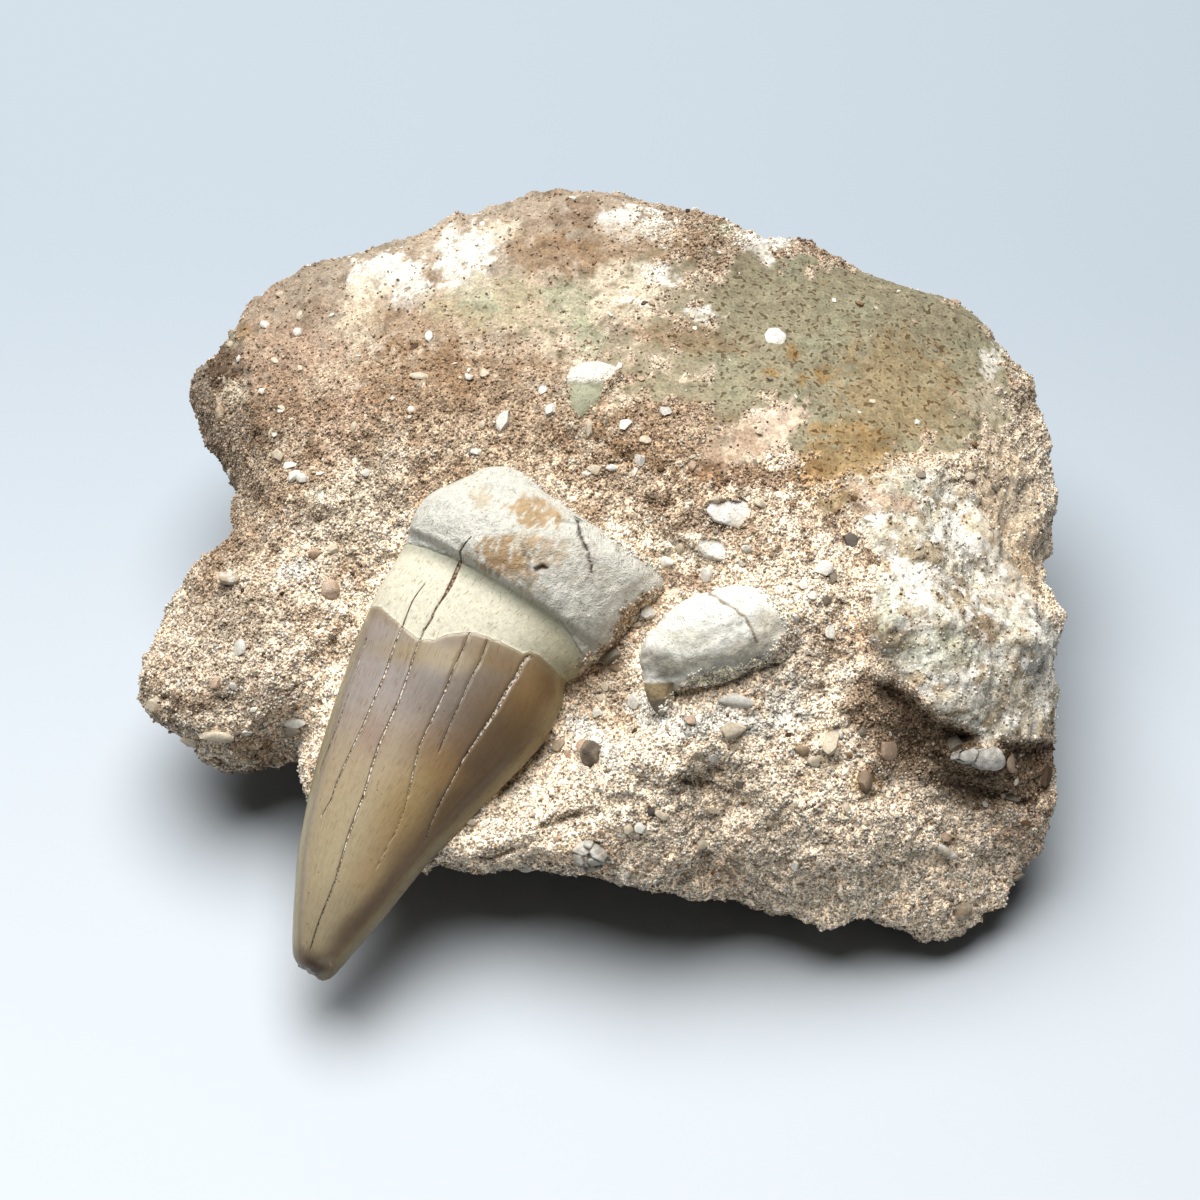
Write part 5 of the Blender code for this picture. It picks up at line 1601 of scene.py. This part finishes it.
def sand_grains(beds, chips):
    """Loose sand on each bed, given as its mesh, the weight and tint of its vertices and a
    count. None lies on the chips."""
    rng = np.random.default_rng(SEED)
    lots = [(*sampled(rng, mesh, weight, count), tint) for mesh, weight, tint, count in beds]
    place, normal = (np.vstack([lot[k] for lot in lots]) for k in range(2))
    tint = np.vstack([tint[vertex] for _, _, vertex, tint in lots])
    kept = off_chips(place, chips)
    place, normal, tint = place[kept], normal[kept], tint[kept]
    count = len(place)
    radius = rng.uniform(*GRAIN_RADIUS, count)
    sizes = radius[:, None] * rng.uniform(0.75, 1.35, (count, 3))
    place = pushed(place, normal, radius * rng.uniform(-0.25, 0.55, count))
    place = in_box(place, GRAIN_MARGIN)
    tone = grain_tones(rng, place, tint)
    shade = np.clip(rng.normal(0.95, 0.17, count), 0.45, 1.2)
    turns = random_turns(rng, count)
    shapes = OCTAHEDRON[None] * sizes[:, None, :]
    points = np.einsum("nij,nvj->nvi", turns, shapes) + place[:, None, :]
    look = grain_look()
    for k in range(GRAIN_PIECES):
        part = slice(k, None, GRAIN_PIECES)
        faces = joined(OCTAHEDRON_FACES, len(OCTAHEDRON), len(place[part]))
        mesh = mesh_from("grains_" + "abcdefgh"[k], points[part].reshape(-1, 3), faces)
        tones, shades = (np.repeat(values[part], len(OCTAHEDRON)) for values in (tone, shade))
        give(mesh, "tone", tones)
        give(mesh, "shade", shades)
        layer = mesh.uv_layers.new(name="OFBake")
        flat = np.column_stack([tones * 0.9 + 0.05, (shades - 0.5) * 1.2 + 0.1])
        layer.data.foreach_set("uv", flat[faces.ravel()].astype(np.float32).ravel())
        new_piece(mesh.name, mesh, look)


def rounded_shapes(rng, count, levels):
    """Worn stone shapes with a few flat breaks: count arrays of points, and their faces."""
    bm = bmesh.new()
    bmesh.ops.create_icosphere(bm, subdivisions=levels, radius=1.0)
    base = np.array([v.co[:] for v in bm.verts])
    faces = np.array([[v.index for v in f.verts] for f in bm.faces])
    bm.free()
    shapes = np.repeat(base[None], count, axis=0)
    for k in range(7):
        facing = rng.normal(size=(count, 3))
        if k:  # a break on the side
            facing[:, 2] *= 0.25
        else:  # the flat top
            facing *= (0.12, 0.12, 0.0)
            facing[:, 2] += 1.0
        facing = unit(facing)
        limit = rng.uniform(0.5, 0.85, count)
        beyond = np.einsum("nvj,nj->nv", shapes, facing) - limit[:, None]
        shapes -= np.maximum(beyond, 0.0)[:, :, None] * facing[:, None, :]
    shapes *= rng.uniform(0.93, 1.07, shapes.shape[:2])[:, :, None]
    return shapes, faces


def chip_piece(name, rng, places, axes, sizes, tints, levels, look):
    """Chips as one piece: axes are each chip's length, width and upward directions."""
    shapes, faces = rounded_shapes(rng, len(places), levels)
    shapes = shapes * sizes[:, None, :]
    points = np.einsum("nij,nvi->nvj", axes, shapes) + places[:, None, :]
    points = in_box(points.reshape(-1, 3), EDGE_MARGIN)
    mesh = mesh_from(name, points, joined(faces, shapes.shape[1], len(places)))
    give(mesh, "tint", np.repeat(tints, shapes.shape[1], axis=0))
    mesh.set_sharp_from_angle(angle=math.radians(38.0))
    return new_piece(name, mesh, look)


def seen_chips(rock, look):
    """The chips that the photograph shows, each at its place."""
    rng = np.random.default_rng(SEED + 1)
    tree = tree_of(rock.data)
    places, axes, sizes, tints = [], [], [], []
    for x, y, length, width, turn, colour in CHIPS_SEEN:
        there = hit(tree, x, y)
        if there is None:
            continue
        place, normal = there
        pixel = np.linalg.norm(place - CAMERA_AT) / FOCAL_PIXELS
        turn = math.radians(turn)
        heading = np.array([math.cos(turn), 0.0, 0.0]) - VIEW_UP * math.sin(turn)
        heading = unit(heading - normal * (heading @ normal))
        tilt = 1.0 / max(0.45, abs(normal @ TO_CAMERA))
        size = np.array([length, width * tilt, min(length, width) * 0.65]) * pixel * 0.7
        places.append(place + normal * size[2] * 0.3)
        axes.append([heading, np.cross(normal, heading), normal])
        sizes.append(size)
        tints.append(albedo(colour))
    places, sizes = np.array(places), np.array(sizes)
    chip_piece("chips_seen", rng, places, np.array(axes), sizes, np.array(tints), 2, look)
    return places, sizes


def small_chips(rock, known, look):
    """Smaller chips of shell, bone and pebble all over the block."""
    rng = np.random.default_rng(SEED + 2)
    weight = known.open * (0.3 + 0.7 * known.sandy)
    place, normal, _ = sampled(rng, rock.data, weight, SMALL_CHIPS)
    turned = unit(np.cross(normal, rng.normal(size=(SMALL_CHIPS, 3))))
    axes = np.stack([turned, np.cross(normal, turned), normal], axis=1)
    radius = np.clip(0.33 * np.exp(rng.normal(0.0, 0.42, SMALL_CHIPS)), 0.2, 1.1)
    sizes = radius[:, None] * rng.uniform((0.9, 0.6, 0.4), (1.5, 1.0, 0.8), (SMALL_CHIPS, 3))
    place = pushed(place, normal, sizes[:, 2] * rng.uniform(-0.1, 0.5, SMALL_CHIPS))
    colours = np.array([albedo(colour) for colour in CHIP_COLOURS])
    chosen = rng.choice(len(colours), size=SMALL_CHIPS, p=CHIP_SHARES)
    chip_piece("chips_small", rng, place, axes, sizes, colours[chosen], 1, look)
    return place, sizes


# The studio


def studio():
    mesh = bpy.data.meshes.new("floor")
    corners = [(x * FLOOR_HALF, y * FLOOR_HALF, 0) for x, y in ((-1, -1), (1, -1), (1, 1), (-1, 1))]
    mesh.from_pydata(corners, [], [(0, 1, 2, 3)])
    floor = bpy.data.objects.new("floor", mesh)
    bpy.context.scene.collection.objects.link(floor)
    look = Look("pale floor", Roughness=0.6, Specular_IOR_Level=0.2)
    at = look.place()
    x, y = (look.add("ShaderNodeSeparateXYZ", {0: at}, axis) for axis in range(2))
    # Painted shade: darker towards the back and a little to the right.
    share = look.span(look.math("MULTIPLY_ADD", x, 0.08, y), -FLOOR_FADE, FLOOR_FADE)
    look.set("Base Color", look.blend(share, FLOOR_NEAR, FLOOR_FAR))
    mesh.materials.append(look.material)

    world = bpy.data.worlds.new("pale room")
    bpy.context.scene.world = world
    world.use_nodes = True
    background = world.node_tree.nodes["Background"]
    background.inputs["Color"].default_value = (*WORLD_COLOUR, 1.0)
    background.inputs["Strength"].default_value = WORLD_STRENGTH
    light = bpy.data.lights.new("key", "AREA")
    light.shape, light.size, light.energy = "DISK", KEY_SIZE * MM, KEY_POWER
    lamp = bpy.data.objects.new("key", light)
    lamp.location = Vector(KEY_AT) * MM
    aim = Vector(KEY_AIM) - Vector(KEY_AT)
    lamp.rotation_euler = aim.to_track_quat("-Z", "Y").to_euler()
    bpy.context.scene.collection.objects.link(lamp)


def photo_camera():
    data = bpy.data.cameras.new("photo camera")
    data.sensor_width = SENSOR_WIDTH
    data.lens = SENSOR_WIDTH / 2 * VIEW_DISTANCE / VIEW_HALF_WIDTH
    data.clip_start, data.clip_end = 0.01, 20.0
    camera = bpy.data.objects.new("photo camera", data)
    camera.location = Vector(CAMERA_AT * MM)
    camera.rotation_euler = Vector(-TO_CAMERA).to_track_quat("-Z", "Y").to_euler()
    bpy.context.scene.collection.objects.link(camera)
    bpy.context.scene.camera = camera


def main():
    bpy.context.scene.view_settings.view_transform = "Standard"
    bpy.context.scene.view_settings.gamma = CONTRAST
    photo_camera()
    studio()
    fossils = [shark_tooth(), root_lobe(), crest_tooth()]
    shown = list(zip(fossils, (TOOTH_SHOWN, LOBE_SHOWN, SMALL_SHOWN), CRUST_GRAINS))
    for fossil, outline, _ in shown:
        sink_hidden(fossil, outline)
    fossils += [fragment_piece(*row) for row in FRAGMENT_LOOKS]
    rock, known = rock_skin(fossils)
    chips = chip_look()
    lots = [seen_chips(rock, chips), small_chips(rock, known, chips)]
    weight = known.sandy**1.5 * known.open * (0.25 + 0.75 * known.facing)
    beds = [(rock.data, weight, known.tint, GRAIN_COUNT)]
    for fossil, outline, count in shown:
        beds.append((*crust_over(fossil, outline, rock.data.materials[0]), count))
    sand_grains(beds, [np.vstack(both) for both in zip(*lots)])


main()
